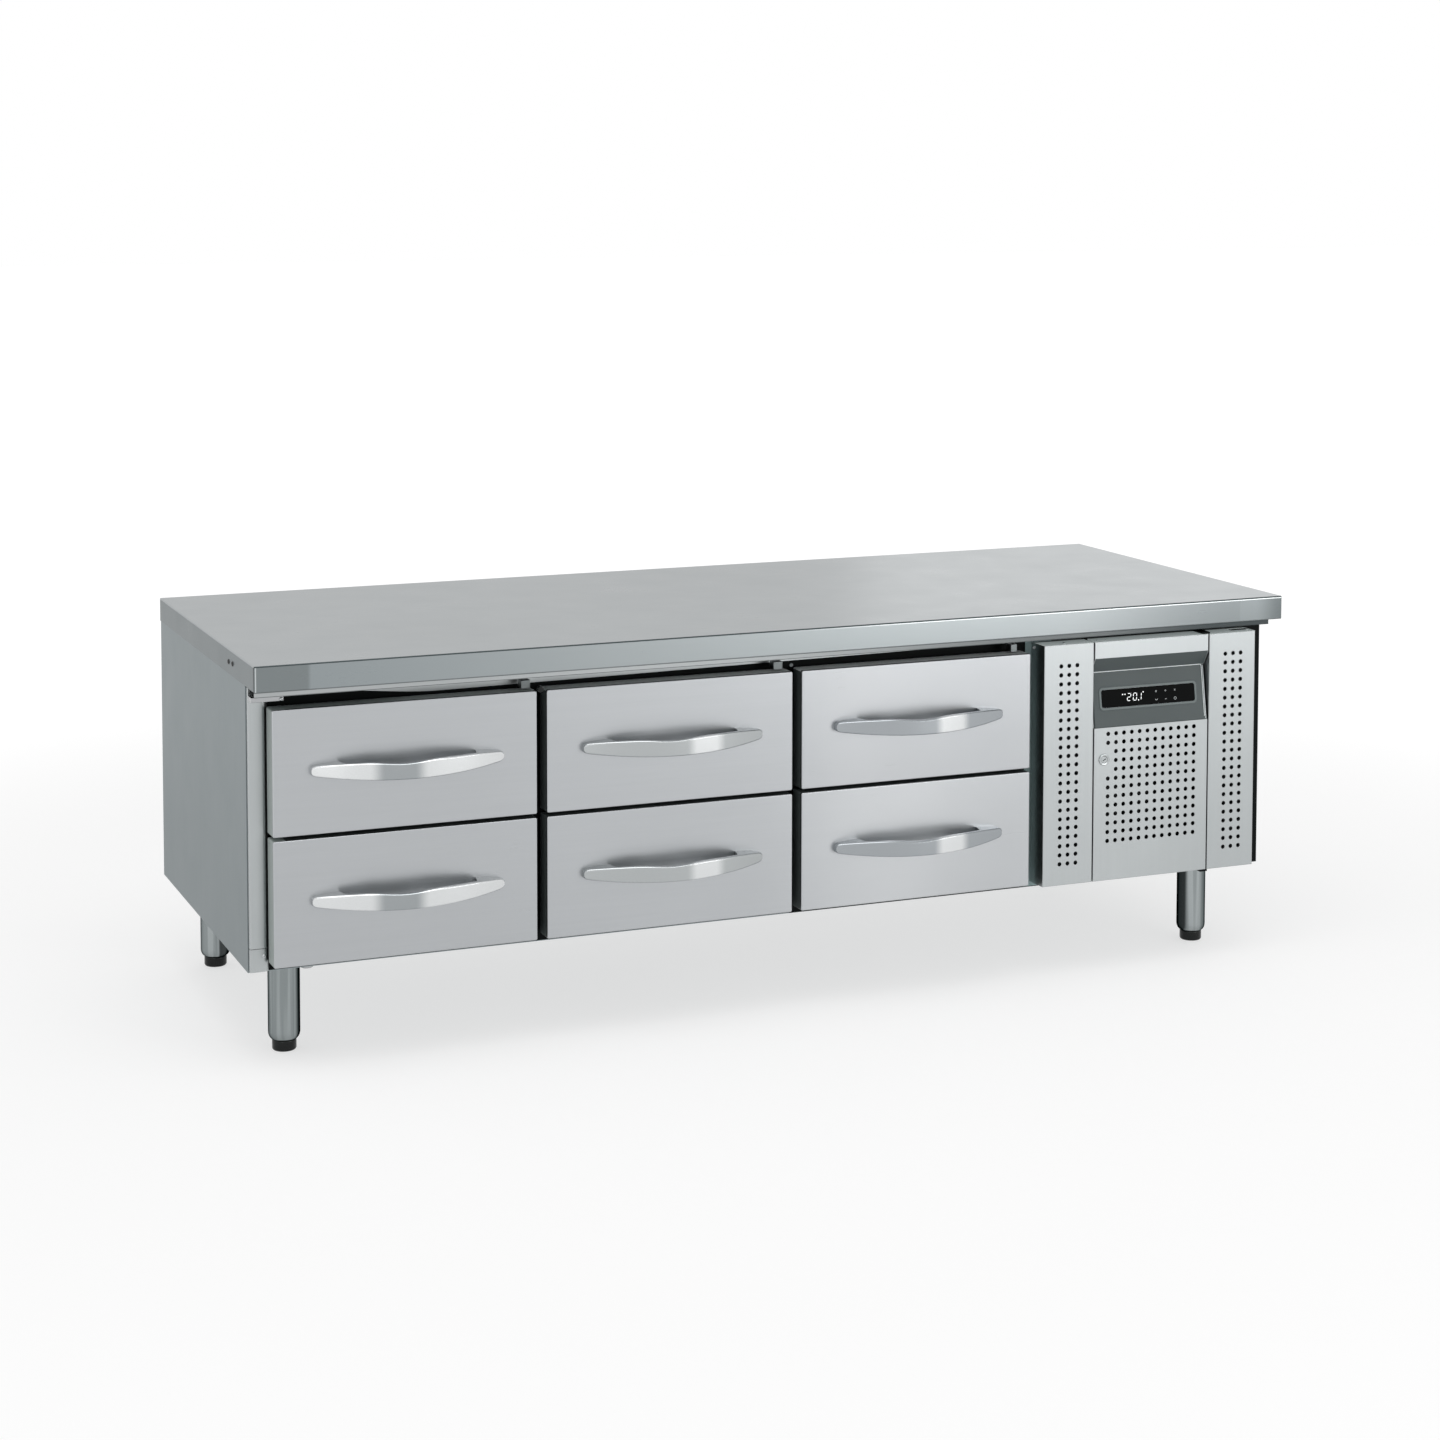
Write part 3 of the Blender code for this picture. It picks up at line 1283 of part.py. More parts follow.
def make_compressor():
    """A hermetic compressor: a domed shell with a seam flange on a mounting plate."""
    x, y, low = compressor_centre()
    radius, height = COMPRESSOR_RADIUS, COMPRESSOR_HEIGHT
    plate = COMPRESSOR_BASE_THICKNESS
    profile = [(0, plate / 2), (radius * COMPRESSOR_FOOT_SHARE, plate / 2)]
    profile += [(radius * wide, height * tall) for wide, tall in COMPRESSOR_SHARES]
    profile += [(0, height)]
    made = lathe("compressor", profile, (x, y, low), "z", ROUND_SIDES, BLACK_PAINT)
    half = COMPRESSOR_BASE / 2
    fuse(made, box("compressor_plate", (x - half, y - half, low), (x + half, y + half, low + plate)))
    stub = cylinder(
        "compressor_stub",
        2 * PIPE_RADIUS,
        (x, y, low + height),
        "z",
        -PIPE_STUB,
        PIPE_STUB,
        PIN_SIDES,
    )
    return fuse(made, stub)


def rounded_route(points, radius, steps):
    """A route through the given points, with each corner rounded by a short curve."""
    found = [points[0]]
    for before, corner, after in zip(points, points[1:], points[2:]):
        start = corner + (before - corner).normalized() * radius
        end = corner + (after - corner).normalized() * radius
        for step in range(steps + 1):
            t = step / steps
            found.append(start * (1 - t) ** 2 + corner * 2 * t * (1 - t) + end * t**2)
    return [*found, points[-1]]


def make_pipe():
    """The discharge pipe from the compressor's top to the condenser's top."""
    x, y, low = compressor_centre()
    start = Vector((x, y, low + COMPRESSOR_HEIGHT + PIPE_STUB + FIT))
    left, front, floor = condenser_place()
    spine = CONDENSER_DEPTH * FIN_SPINE_SHARE
    end = Vector((x, front + CONDENSER_DEPTH - spine / 2, floor + CONDENSER_HEIGHT + FIT))
    crest = max(start.z, end.z) + PIPE_RISE
    corners = [start, Vector((x, y, crest)), Vector((x, end.y, crest)), end]
    points = rounded_route(corners, PIPE_BEND, PIPE_BEND_STEPS)
    curve = bpy.data.curves.new("refrigerant_pipe", "CURVE")
    curve.dimensions = "3D"
    line = curve.splines.new("POLY")
    line.points.add(len(points) - 1)
    for place, point in zip(line.points, points):
        place.co = (*point, 1)
    curve.bevel_depth = PIPE_RADIUS
    curve.bevel_resolution = 1
    curve.use_fill_caps = True
    curve.materials.append(COPPER)
    made = bpy.data.objects.new("refrigerant_pipe", curve)
    SCENE.collection.objects.link(made)
    made.parent = CORNER
    return made


def make_control_box():
    right = MACHINE_RIGHT - BASE_INSET - SHEET - FIT
    back = DEPTH - CASE_SHEET - CONTROL_BOX_BACK_GAP
    low = BASE_FLOOR + FIT
    made = box(
        "control_box",
        (right - CONTROL_BOX_WIDTH, back - CONTROL_BOX_DEPTH, low),
        (right, back, low + CONTROL_BOX_HEIGHT),
        BLACK_PAINT,
    )
    return bevel(made, CONTROL_BOX_BEVEL, 2)


def cold_fan_centre():
    inner = CAVITY_RIGHT - FIT - LINER_SHEET
    middle = (CHAMBER_FRONT + CHAMBER_BACK) / 2
    height = CHAMBER_TOP - COVER_OVERLAP - COVER_FAN_RADIUS - COVER_SLOT_HEIGHT
    return inner + FAN_TIP_GAP, middle, height


def make_evaporator_cover():
    """The plate over the chamber's mouth: a round fan opening above return air slots."""
    inner = CAVITY_RIGHT - FIT - LINER_SHEET
    lap = COVER_OVERLAP
    made = box(
        "evaporator_cover",
        (inner - FIT - COVER_THICKNESS, CHAMBER_FRONT - lap, CHAMBER_BOTTOM - lap),
        (inner - FIT, CHAMBER_BACK - FIT - LINER_SHEET - FIT, CHAMBER_TOP + lap),
        DARK_STEEL,
    )
    x, y, z = cold_fan_centre()
    hole = ("cover_fan_hole", COVER_FAN_RADIUS, (inner, y, z), "x", -CUT_OVERRUN, CUT_OVERRUN)
    cut(made, cylinder(*hole, 2 * ROUND_SIDES))
    bm = bmesh.new()
    free = z - COVER_FAN_RADIUS - COVER_SLOT_HEIGHT - CHAMBER_BOTTOM
    length = CHAMBER_LENGTH - 2 * COVER_SLOT_PITCH
    for row in range(int(free / COVER_SLOT_PITCH)):
        height = CHAMBER_BOTTOM + COVER_SLOT_PITCH * (row + 1)
        size = Matrix.Diagonal((2 * CUT_OVERRUN, length, COVER_SLOT_HEIGHT, 1))
        bmesh.ops.create_cube(bm, size=1, matrix=Matrix.Translation((inner, y, height)) @ size)
    return cut(made, from_bmesh("cover_slot_cutter", bm, None))


def make_cold_motor():
    """The evaporator fan's motor on a strap behind the cover."""
    x, y, z = cold_fan_centre()
    shaft = COLD_FAN_DEPTH + FAN_TIP_GAP
    profile = motor_profile(COLD_MOTOR_RADIUS, COLD_MOTOR_LENGTH, shaft)
    made = lathe("evaporator_fan_motor", profile, (x + shaft, y, z), "x", ROUND_SIDES, BLACK_PAINT)
    near = CAVITY_RIGHT - FIT - LINER_SHEET
    far = x + shaft + COLD_MOTOR_LENGTH / 2
    reach = (CHAMBER_LENGTH / 2 + COVER_FAN_RADIUS) / 2
    path = [
        (near, y - reach),
        (far, y - reach),
        (far, y + reach),
        (near, y + reach),
    ]
    outline = path + offset_path(path, STRAP_THICKNESS)[::-1]
    half = STRAP_WIDTH / 2
    return fuse(made, prism("cold_motor_strap", outline, "z", z - half, z + half))


def make_evaporator():
    right = CHAMBER_RIGHT - FIT - LINER_SHEET - FIT
    inset = FIT + LINER_SHEET + FIT
    return comb(
        "evaporator",
        CHAMBER_FRONT + inset,
        CHAMBER_BACK - inset,
        right - EVAPORATOR_WIDTH,
        right,
        EVAPORATOR_FINS,
        "y",
        CHAMBER_BOTTOM + inset,
        CHAMBER_TOP - inset,
        FIN_ALUMINIUM,
    )


def make_cabinet():
    make_worktop()
    make_top_rail()
    make_casing()
    make_front_frame()
    make_insulation()
    make_liner()
    for number in range(COLUMN_COUNT + 1):
        make_rack(number)


def make_machinery():
    make_machine_base()
    make_condenser()
    make_fan("condenser_fan", fan_centre(), "y", FAN_RADIUS, FAN_HUB_RADIUS, FAN_DEPTH)
    make_condenser_motor()
    make_compressor()
    make_pipe()
    make_control_box()
    make_evaporator()
    make_evaporator_cover()
    make_fan("evaporator_fan", cold_fan_centre(), "x", COLD_FAN_RADIUS, COLD_FAN_HUB, COLD_FAN_DEPTH)
    make_cold_motor()


make_cabinet()
for column in range(COLUMN_COUNT):
    for level in range(len(LEVELS)):
        make_drawer(column, level)
make_grilles()
make_door()
make_fascia()
make_display()
make_lock()
make_supports()
make_machinery()
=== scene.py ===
# %% [markdown]
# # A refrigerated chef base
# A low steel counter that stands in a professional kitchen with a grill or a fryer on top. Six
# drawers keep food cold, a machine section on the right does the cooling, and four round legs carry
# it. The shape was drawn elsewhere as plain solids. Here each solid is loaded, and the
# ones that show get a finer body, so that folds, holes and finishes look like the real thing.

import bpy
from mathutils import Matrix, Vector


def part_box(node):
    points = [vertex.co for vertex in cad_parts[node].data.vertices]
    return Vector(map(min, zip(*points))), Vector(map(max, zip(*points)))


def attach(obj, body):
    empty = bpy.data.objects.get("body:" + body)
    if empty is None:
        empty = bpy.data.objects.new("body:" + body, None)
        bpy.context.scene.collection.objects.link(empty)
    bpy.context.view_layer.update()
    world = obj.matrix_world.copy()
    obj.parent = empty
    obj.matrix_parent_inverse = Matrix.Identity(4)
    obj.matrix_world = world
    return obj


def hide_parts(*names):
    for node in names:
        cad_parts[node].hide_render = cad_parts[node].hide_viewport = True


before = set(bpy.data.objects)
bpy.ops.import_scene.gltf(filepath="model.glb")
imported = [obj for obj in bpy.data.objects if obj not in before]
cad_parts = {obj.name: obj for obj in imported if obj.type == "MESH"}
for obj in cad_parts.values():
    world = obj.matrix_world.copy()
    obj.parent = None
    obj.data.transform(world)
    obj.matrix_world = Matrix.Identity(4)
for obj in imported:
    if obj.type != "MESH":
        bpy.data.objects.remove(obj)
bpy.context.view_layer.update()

# %% [markdown]
# Of Blender's modules, bpy runs the operators, bmesh picks parts of a mesh and mathutils does the
# geometry. All lengths are metres, and two places closer than NEAR count as one.

# %% Tools of the workshop
import math
from contextlib import contextmanager

import bmesh
import bpy
from mathutils import Matrix, Vector

NEAR = 1e-5

# %% [markdown]
# ## The camera
# The photograph was taken from the left, a little above the worktop, with a long lens. Its place
# was worked out from the corners of the worktop, the edges of the drawers and the feet. The lens
# points almost level and is shifted downwards, which keeps upright edges nearly upright, as in most
# product photographs.

# %% Camera
YAW, TILT, ROLL = 0.391584, 0.068633, -0.001204
CAMERA_PLACE = (-1.841388, -4.430277, 1.392902)
FOCAL_LENGTH = 70.661
SHIFT_DOWN = -0.26
ahead = Vector((math.sin(YAW) * math.cos(TILT), math.cos(YAW) * math.cos(TILT), -math.sin(TILT)))
right = Vector((math.cos(YAW), -math.sin(YAW), 0))
down = ahead.cross(right)
tilted_right = math.cos(ROLL) * right + math.sin(ROLL) * down
tilted_down = math.cos(ROLL) * down - math.sin(ROLL) * right
lens = bpy.data.cameras.new("camera")
lens.lens = FOCAL_LENGTH
lens.sensor_width = 36
lens.shift_y = SHIFT_DOWN
camera = bpy.data.objects.new("camera", lens)
camera.matrix_world = Matrix.Translation(CAMERA_PLACE) @ (
    Matrix((tilted_right, -tilted_down, -ahead)).transposed().to_4x4()
)
bpy.context.scene.collection.objects.link(camera)
bpy.context.scene.camera = camera
print("camera at", [round(place, 3) for place in camera.location])

# %% [markdown]
# ## Shader arithmetic
# A finish is a small network of nodes, and most of it is sums: grain times a half, plus a cloud.
# Placing Math nodes by hand is slow to write and to read. One small class that stands for a socket
# lets plain Python arithmetic add those nodes.


# %% A wire between nodes
def plug(tree, value, socket):
    """Links a wire to a socket, or writes a plain value into it."""
    if isinstance(value, Wire):
        tree.links.new(value.socket, socket)
    else:
        socket.default_value = value


class Wire:
    """An output socket. Sums and products of wires add Math nodes to their tree."""

    def __init__(self, tree, socket):
        self.tree, self.socket = tree, socket

    def maths(self, operation, *values):
        made = self.tree.nodes.new("ShaderNodeMath")
        made.operation = operation
        for socket, value in zip(made.inputs, values):
            plug(self.tree, value, socket)
        return Wire(self.tree, made.outputs[0])

    def __abs__(self):
        return self.maths("ABSOLUTE", self)

    def over(self, limit):
        return self.maths("GREATER_THAN", self, limit)

    def under(self, limit):
        return self.maths("LESS_THAN", self, limit)


def add_sign(name, operation):
    """Lets Python's sign of that name, with a wire on either side of it, add a Math node."""
    setattr(Wire, f"__{name}__", lambda wire, other: wire.maths(operation, wire, other))
    setattr(Wire, f"__r{name}__", lambda wire, other: wire.maths(operation, other, wire))


for name, operation in (("add", "ADD"), ("sub", "SUBTRACT"), ("mul", "MULTIPLY"), ("pow", "POWER")):
    add_sign(name, operation)
print("wires ready")

# %% [markdown]
# A finish always starts from the Principled shader. What is the same all over, such as how metallic
# it is, is written straight on the shader. What varies comes from wires. Patterns read the Object
# coordinates, which are metres here, so a grain of half a millimetre is written as such.


# %% A finish
class Finish:
    """A material with its Principled shader, and methods that add other nodes to it."""

    def __init__(self, name, colour, roughness, metallic=0.0, **steady):
        self.material = bpy.data.materials.new(name)
        self.material.use_nodes = True
        self.tree = self.material.node_tree
        self.shader = self.tree.nodes["Principled BSDF"]
        self.shader.inputs["Base Color"].default_value = (*colour, 1)
        self.shader.inputs["Roughness"].default_value = roughness
        self.shader.inputs["Metallic"].default_value = metallic
        for word, value in steady.items():
            self.shader.inputs[word.replace("_", " ")].default_value = value

    def node(self, kind, settings=None, sockets=None, output=0):
        made = self.tree.nodes.new("ShaderNode" + kind)
        for word, value in (settings or {}).items():
            setattr(made, word, value)
        for word, value in (sockets or {}).items():
            plug(self.tree, value, made.inputs[word])
        return Wire(self.tree, made.outputs[output])

    def feed(self, socket, wire):
        plug(self.tree, wire, self.shader.inputs[socket])

    def noise(self, scales, detail=2.0):
        """Soft noise from 0 to 1. scales says how many waves a metre holds along x, y and z."""
        place = self.node("TexCoord", output="Object")
        stretched = self.node("Mapping", sockets={"Vector": place, "Scale": scales})
        return self.node("TexNoise", sockets={"Vector": stretched, "Scale": 1.0, "Detail": detail})

    def blend(self, factor, first, second):
        """A colour between two colours. Either may be a wire."""
        ends = [end if isinstance(end, Wire) else (*end, 1) for end in (first, second)]
        return self.node("Mix", {"data_type": "RGBA"}, {0: factor, 6: ends[0], 7: ends[1]}, output=2)

    def along(self, axis):
        """How far a point lies along x, y or z, in metres."""
        place = self.node("TexCoord", output="Object")
        return self.node("SeparateXYZ", sockets={"Vector": place}, output="XYZ".index(axis.upper()))

    def over(self, axis, limit):
        """1 past a limit along an axis, and 0 before it."""
        return self.along(axis).over(limit)

    def under(self, axis, limit):
        return self.along(axis).under(limit)

    def ramp(self, wire, start, end):
        """0 at start, 1 at end, with a soft turn at both."""
        sockets = {"Value": wire, "From Min": start, "From Max": end}
        return self.node("MapRange", {"interpolation_type": "SMOOTHSTEP"}, sockets)

    def fade(self, axis, start, end):
        """The same soft ramp from one place to another along an axis."""
        return self.ramp(self.along(axis), start, end)

    def relief(self, height, depth):
        """Bends the light as if the surface rose by depth metres where height is 1."""
        self.feed("Normal", self.node("Bump", sockets={"Height": height, "Distance": depth}))


print("finishes can be mixed")

# %% [markdown]
# ## Steel
# Kitchen steel is ground in one direction with a fine belt. From a distance that shows as a soft
# sheen with faint streaks, and the sheet is never quite flat, so its brightness drifts slowly from
# place to place. The grain is noise that is stretched a hundredfold along one axis. The slow drift
# and the wiped smudges are wide noise, in the colour and in the roughness.


# %% Ground steel
class GroundSteel(Finish):
    """Steel ground along x, y or z."""

    def __init__(self, name, along, colour, roughness, depth=0.00002, edge=1.0):
        super().__init__(name, colour, roughness, 1.0, Specular_Tint=(edge, edge, edge, 1))
        fine = [9.0 if axis == along else 900.0 for axis in "xyz"]
        coarse = [2.5 if axis == along else 160.0 for axis in "xyz"]
        grain = self.noise(fine, 3.0)
        streak = self.noise(coarse, 1.0)
        drift = self.noise((2.2, 2.2, 3.1), 1.0)
        smudge = self.noise((11.0, 11.0, 11.0), 4.0)
        tone = 0.32 * grain + 0.22 * streak + 0.46 * drift
        darker = [part * 0.92 for part in colour]
        lighter = [min(part * 1.08, 1) for part in colour]
        self.skin = self.blend(tone, darker, lighter)
        self.finish = roughness - 0.09 + 0.10 * smudge + 0.08 * grain
        self.feed("Base Color", self.skin)
        self.feed("Roughness", self.finish)
        self.relief(grain + 0.5 * streak, depth)

    def tint(self, mask, colour):
        """Steel of another tone where the mask is 1. Here each tint paints light or shade."""
        self.skin = self.blend(mask, self.skin, colour)
        self.feed("Base Color", self.skin)

    def cover(self, mask, colour, roughness):
        """A matte colour instead of steel where the mask is 1. Here each cover paints light or shade.
        """
        self.tint(mask, colour)
        self.finish = self.finish * (1 - mask) + roughness * mask
        self.feed("Roughness", self.finish)
        self.feed("Metallic", 1 - mask)


print("steel can be ground")

# %% [markdown]
# The lamps of this scene don't light every front as the studio's did. Soft ramps from left to right
# paint light and shade into the tone, and the lower row has one of its own. The flange behind each
# face gets painted light and shade in a matte colour: a painted highlight on its top, where light
# falls from above, painted shade on the sides where the next drawer stands close, and a dark line of
# painted shade along its fold.

# %% Steel of the drawer fronts
steel = front_steel = GroundSteel("steel_of_fronts", "x", (0.458, 0.474, 0.489), 0.31)
front_low, front_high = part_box("drawer_front_1_upper")
ROWS_MEET = 0.3615
# Painted light and shade: soft ramps from left to right for each row of fronts.
steel.tint(steel.fade("x", -0.10, 0.25) * steel.under("z", ROWS_MEET), (0.585, 0.601, 0.614))
steel.tint(steel.fade("x", -0.05, 0.12) * steel.over("z", ROWS_MEET), (0.492, 0.506, 0.520))
steel.tint(steel.fade("x", 0.05, 0.38) * 0.63, (0.405, 0.420, 0.434))
# Painted light and shade on the flange behind each face: a painted highlight on top, painted shade on
# the sides and along the fold.
painted_top_light = steel.blend(steel.fade("x", -0.85, 0.30), (0.34, 0.39, 0.38), (0.92, 0.96, 0.95))
between = steel.over("x", front_low.x + 0.02)
painted_flange_light_and_shade = steel.blend(between, (0.44, 0.49, 0.475), (0.085, 0.10, 0.10))
painted_flange_light_and_shade = steel.blend(steel.over("z", front_high.z - 0.0020), painted_flange_light_and_shade, painted_top_light)
fold_shadow = steel.under("y", front_low.y + 0.0058) * between
painted_flange_light_and_shade = steel.blend(fold_shadow, painted_flange_light_and_shade, (0.035, 0.042, 0.042))
steel.cover(steel.over("y", front_low.y + 0.0024), painted_flange_light_and_shade, 0.50)
print("front steel starts at x", round(front_low.x, 4))

# %% [markdown]
# The rail under the worktop is painted darker towards the right and has a thin dark line at both
# bends, all painted shade. The grille gets painted shade at its right end, nearly black along its
# right edge. Its top flanges get a light matte colour, a painted highlight, and as they stand under
# the worktop, where the studio had a lamp that this scene has not, their front part gives off a
# little light of its own: a painted glow.

# %% Steel of rail, grille and inner parts
steel = rail_steel = GroundSteel("steel_of_rail", "x", (0.40, 0.42, 0.425), 0.30)
# Painted shade: darker towards the right, and a thin dark line at both bends.
steel.tint(steel.fade("x", -0.30, 0.50), (0.125, 0.135, 0.137))
steel.tint(steel.fade("x", 0.50, 0.80), (0.050, 0.058, 0.060))
rail_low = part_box("top_rail")[0].z
bend_shade_lines = steel.over("z", rail_low + 0.0068) + steel.under("z", rail_low + 0.0011)
steel.tint(bend_shade_lines * 0.62, (0.03, 0.036, 0.037))
steel = grille_steel = GroundSteel("steel_of_grille", "z", (0.443, 0.467, 0.472), 0.31)
# Painted shade: darker at the right end, nearly black along the right edge.
steel.tint(steel.fade("x", 0.55, 0.80) * 0.40, (0.37, 0.392, 0.396))
steel.tint(steel.over("x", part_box("grille_right")[1].x - 0.0022) * 0.93, (0.030, 0.042, 0.042))
# Painted highlight: a light matte colour on the top flanges.
top_flange = steel.over("z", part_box("grille_left")[1].z - 0.0004)
steel.cover(top_flange, (0.90, 0.95, 0.94), 0.50)
# A painted glow on the front part of the top flanges.
glowing_flange_front = top_flange * steel.under("y", front_low.y + 0.034)
steel.feed("Emission Color", steel.blend(glowing_flange_front, (0, 0, 0), (0.150, 0.172, 0.170)))
steel.shader.inputs["Emission Strength"].default_value = 1.0
inner_steel = GroundSteel("steel_of_inner_parts", "y", (0.42, 0.43, 0.44), 0.36)
print("rail bends from z", round(rail_low, 4))

# %% [markdown]
# A handle mirrors the lamps, and each column sees them from another side. Those reflections are
# painted: the left handles are bright with a painted grey patch in the middle, and the others are
# painted grey with one bright patch of painted highlight right of the middle.

# %% Metal of the handles
metal = handle_metal = GroundSteel("satin_handle", "x", (0.68, 0.695, 0.70), 0.22, 0.00001, 0.8)
handle_low, handle_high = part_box("drawer_handle_1_upper")
column_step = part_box("drawer_handle_2_upper")[0].x - handle_low.x
bow_middle = (handle_low.x + handle_high.x) / 2
# Painted reflections: a grey patch on the left handles, grey with one bright patch on the others.
from_painted_grey_patch = abs(metal.along("x") - (bow_middle - 0.024))
metal.tint(metal.ramp(from_painted_grey_patch, 0.046, 0.022), (0.345, 0.368, 0.378))
for column, tone in ((1, (0.43, 0.45, 0.455)), (2, (0.355, 0.378, 0.395))):
    from_painted_highlight = abs(metal.along("x") - (bow_middle + column * column_step + 0.042))
    metal.tint(metal.ramp(from_painted_highlight, 0.016, 0.036) * from_painted_highlight.under(column_step / 2), tone)
print("columns stand", round(column_step, 4), "m apart")

# %% [markdown]
# The worktop's skirt is painted darker than its top, as painted shade: it was folded from the same
# sheet but faces a darker part of the room. A studio can't be rebuilt lamp by lamp, so the skirt
# gets painted tones of its own: a row of soft ramps from left to right, a sharp change beside both
# corners, a darker left side, and thin lines of painted shade and painted highlight where the sheet
# is folded.

# %% Steel of the worktop
steel = worktop_steel = GroundSteel("steel_of_worktop", "x", (0.40, 0.424, 0.433), 0.30, 0.00002, 0.80)
pan_low, pan_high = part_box("worktop")
skirt = steel.under("z", pan_high.z - 0.0022)
# Painted shade on the skirt: soft ramps from left to right and sharp changes beside both corners.
tone = steel.fade("x", pan_low.x - 0.05, pan_low.x + 0.7)
tone = steel.blend(tone, (0.277, 0.307, 0.318), (0.333, 0.362, 0.370))
for start, end, colour in (
    (0.15, 0.70, (0.312, 0.335, 0.342)),
    (0.45, 0.80, (0.196, 0.215, 0.220)),
    (pan_high.x - 0.086, pan_high.x - 0.082, (0.212, 0.233, 0.238)),
    (pan_high.x - 0.055, pan_high.x, (0.125, 0.140, 0.144)),
):
    tone = steel.blend(steel.fade("x", start, end), tone, colour)
past_corner = steel.fade("x", pan_low.x + 0.080, pan_low.x + 0.088)
steel.tint(skirt, steel.blend(past_corner, (0.205, 0.228, 0.233), tone))
# A thin line of painted shade at the front skirt's top fold, and a thin painted highlight just below
# it.
in_fold = steel.under("y", pan_low.y + 0.0017) * steel.under("z", pan_high.z - 0.0001)
steel.tint(in_fold * steel.over("z", pan_high.z - 0.0022), (0.060, 0.072, 0.075))
painted_highlight_line = in_fold * skirt * steel.over("z", pan_high.z - 0.0035)
steel.tint(painted_highlight_line * steel.fade("x", -0.10, 0.25) * 0.8, (0.86, 0.90, 0.90))
# Painted shade on the skirt's left side, darker near the front, and a painted highlight down the front
# corner.
side_skirt = skirt * steel.under("x", pan_low.x + 0.0012)
steel.tint(side_skirt, (0.160, 0.186, 0.194))
steel.tint(side_skirt * steel.under("y", pan_low.y + 0.0065), (0.075, 0.090, 0.095))
painted_corner_highlight = skirt * steel.under("y", pan_low.y + 0.0014) * steel.under("x", pan_low.x + 0.0034)
steel.tint(painted_corner_highlight * (1 - side_skirt), (0.50, 0.53, 0.535))
print("worktop steel is darker below", round(pan_high.z - 0.0022, 4))

# %% [markdown]
# Side panels and bottom are one thin sheet. Their steel is a darker copy of the fronts' steel, as
# painted shade for the darker part of the room they face, and the casing's front edge on the right
# is painted nearly black, painted shade as well. The front frame behind the drawers is painted nearly
# black, with a greener grey near the machine side: painted shade in the recess behind the drawers.
# Only its left pillar and a strip along its top, above a sloping line, keep the bare steel, and one
# mask tells them from the painted shade.

# %% Steel of casing and frame
# Painted shade: the casing's steel is a darker copy of the fronts' steel.
steel = casing_steel = GroundSteel("steel_of_casing", "z", (0.282, 0.322, 0.334), 0.33, 0.00002, 0.68)
casing_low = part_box("outer_casing")[0]
# Painted shade: the casing's front edge on the right is nearly black.
shaded_front_edge = steel.under("y", casing_low.y + 0.0012) * steel.over("x", 0)
steel.cover(shaded_front_edge, (0.026, 0.037, 0.037), 0.45)
# Painted shade on the frame: nearly black, greener grey near the machine side, bare steel only on the
# left pillar and above a sloping line.
steel = frame_steel = GroundSteel("front_frame_with_painted_shade", "z", (0.45, 0.475, 0.48), 0.31)
frame_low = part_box("front_frame")[0]
machine_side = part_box("grille_left")[0].x - 0.012
rise_at_left = 1 - steel.fade("x", frame_low.x + 0.12, frame_low.x + 0.30)
shade_edge_height = 0.5672 + 0.010 * steel.along("x") + 0.013 * rise_at_left
above_painted_shade = (steel.along("z") - shade_edge_height).over(0.0) * steel.under("x", machine_side)
near_machine = steel.over("x", machine_side) * steel.under("x", machine_side + 0.05)
painted_shade_tone = steel.blend(near_machine, (0.0040, 0.0055, 0.0055), (0.34, 0.45, 0.45))
steel.cover(steel.over("x", frame_low.x + 0.031) * (1 - above_painted_shade), painted_shade_tone, 0.45)
# Almost no mirroring, so the painted shade stays dark.
steel.shader.inputs["Specular IOR Level"].default_value = 0.06
print("machine side starts at x", round(machine_side, 4))

# %% [markdown]
# The legs are polished tubes. A polished tube mirrors everything round it, and towards the middle of
# the counter that is the dark space under the bottom. A white surround can't give that, so the
# reflection is painted: the tone falls off on the side of each tube that faces inwards and on the
# outer side of the right ones, most of the rear legs and a little of the left front one are darker,
# and tall soft streaks of painted reflection run down its length.

# %% Steel of the legs
steel = leg_steel = GroundSteel("steel_of_legs", "z", (0.37, 0.40, 0.405), 0.17, 0.00001, 0.10)
# Painted reflection: tall soft streaks down the legs.
reflection_streaks = steel.noise((130.0, 130.0, 3.0), 1.0)
steel.tint(steel.ramp(reflection_streaks, 0.42, 0.62) * 0.55, (0.20, 0.225, 0.228))
PLATE_REACH = 0.03
# Painted reflection: darker on the inward sides, the rear legs, the right legs' outer sides and the
# left front leg.
rear = steel.over("y", 0)
for side, sign, start, end in (("right", -1, 0.0165, 0.0215), ("left", 1, 0.0110, 0.0190)):
    low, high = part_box(f"leg_front_{side}")
    inward = steel.along("x") * sign + abs(low.x + high.x) / 2
    on_leg = inward.under(PLATE_REACH)
    steel.tint(steel.ramp(inward, -0.001, 0.003) * on_leg * rear * 0.85, (0.012, 0.016, 0.016))
    if side == "right":
        outward = 0 - inward
        outer_side = steel.ramp(outward, 0.0035, 0.0095) * outward.under(PLATE_REACH)
        steel.tint(outer_side * 0.55, (0.10, 0.12, 0.12))
    steel.tint(steel.ramp(inward, start, end) * on_leg * 0.93, (0.010, 0.014, 0.014))
steel.tint(steel.under("x", 0) * (1 - rear) * 0.22, (0.13, 0.155, 0.155))
print("inward sides of the legs are darker, and most of the rear legs")

# %% [markdown]
# ## Plastics, rubber, foam and paint
# Moulded plastic carries a fine even texture from its mould. Foam is coarse and spotted with bright
# cut cells, paint has a slight orange peel, and rubber is dull with pale dust on it.


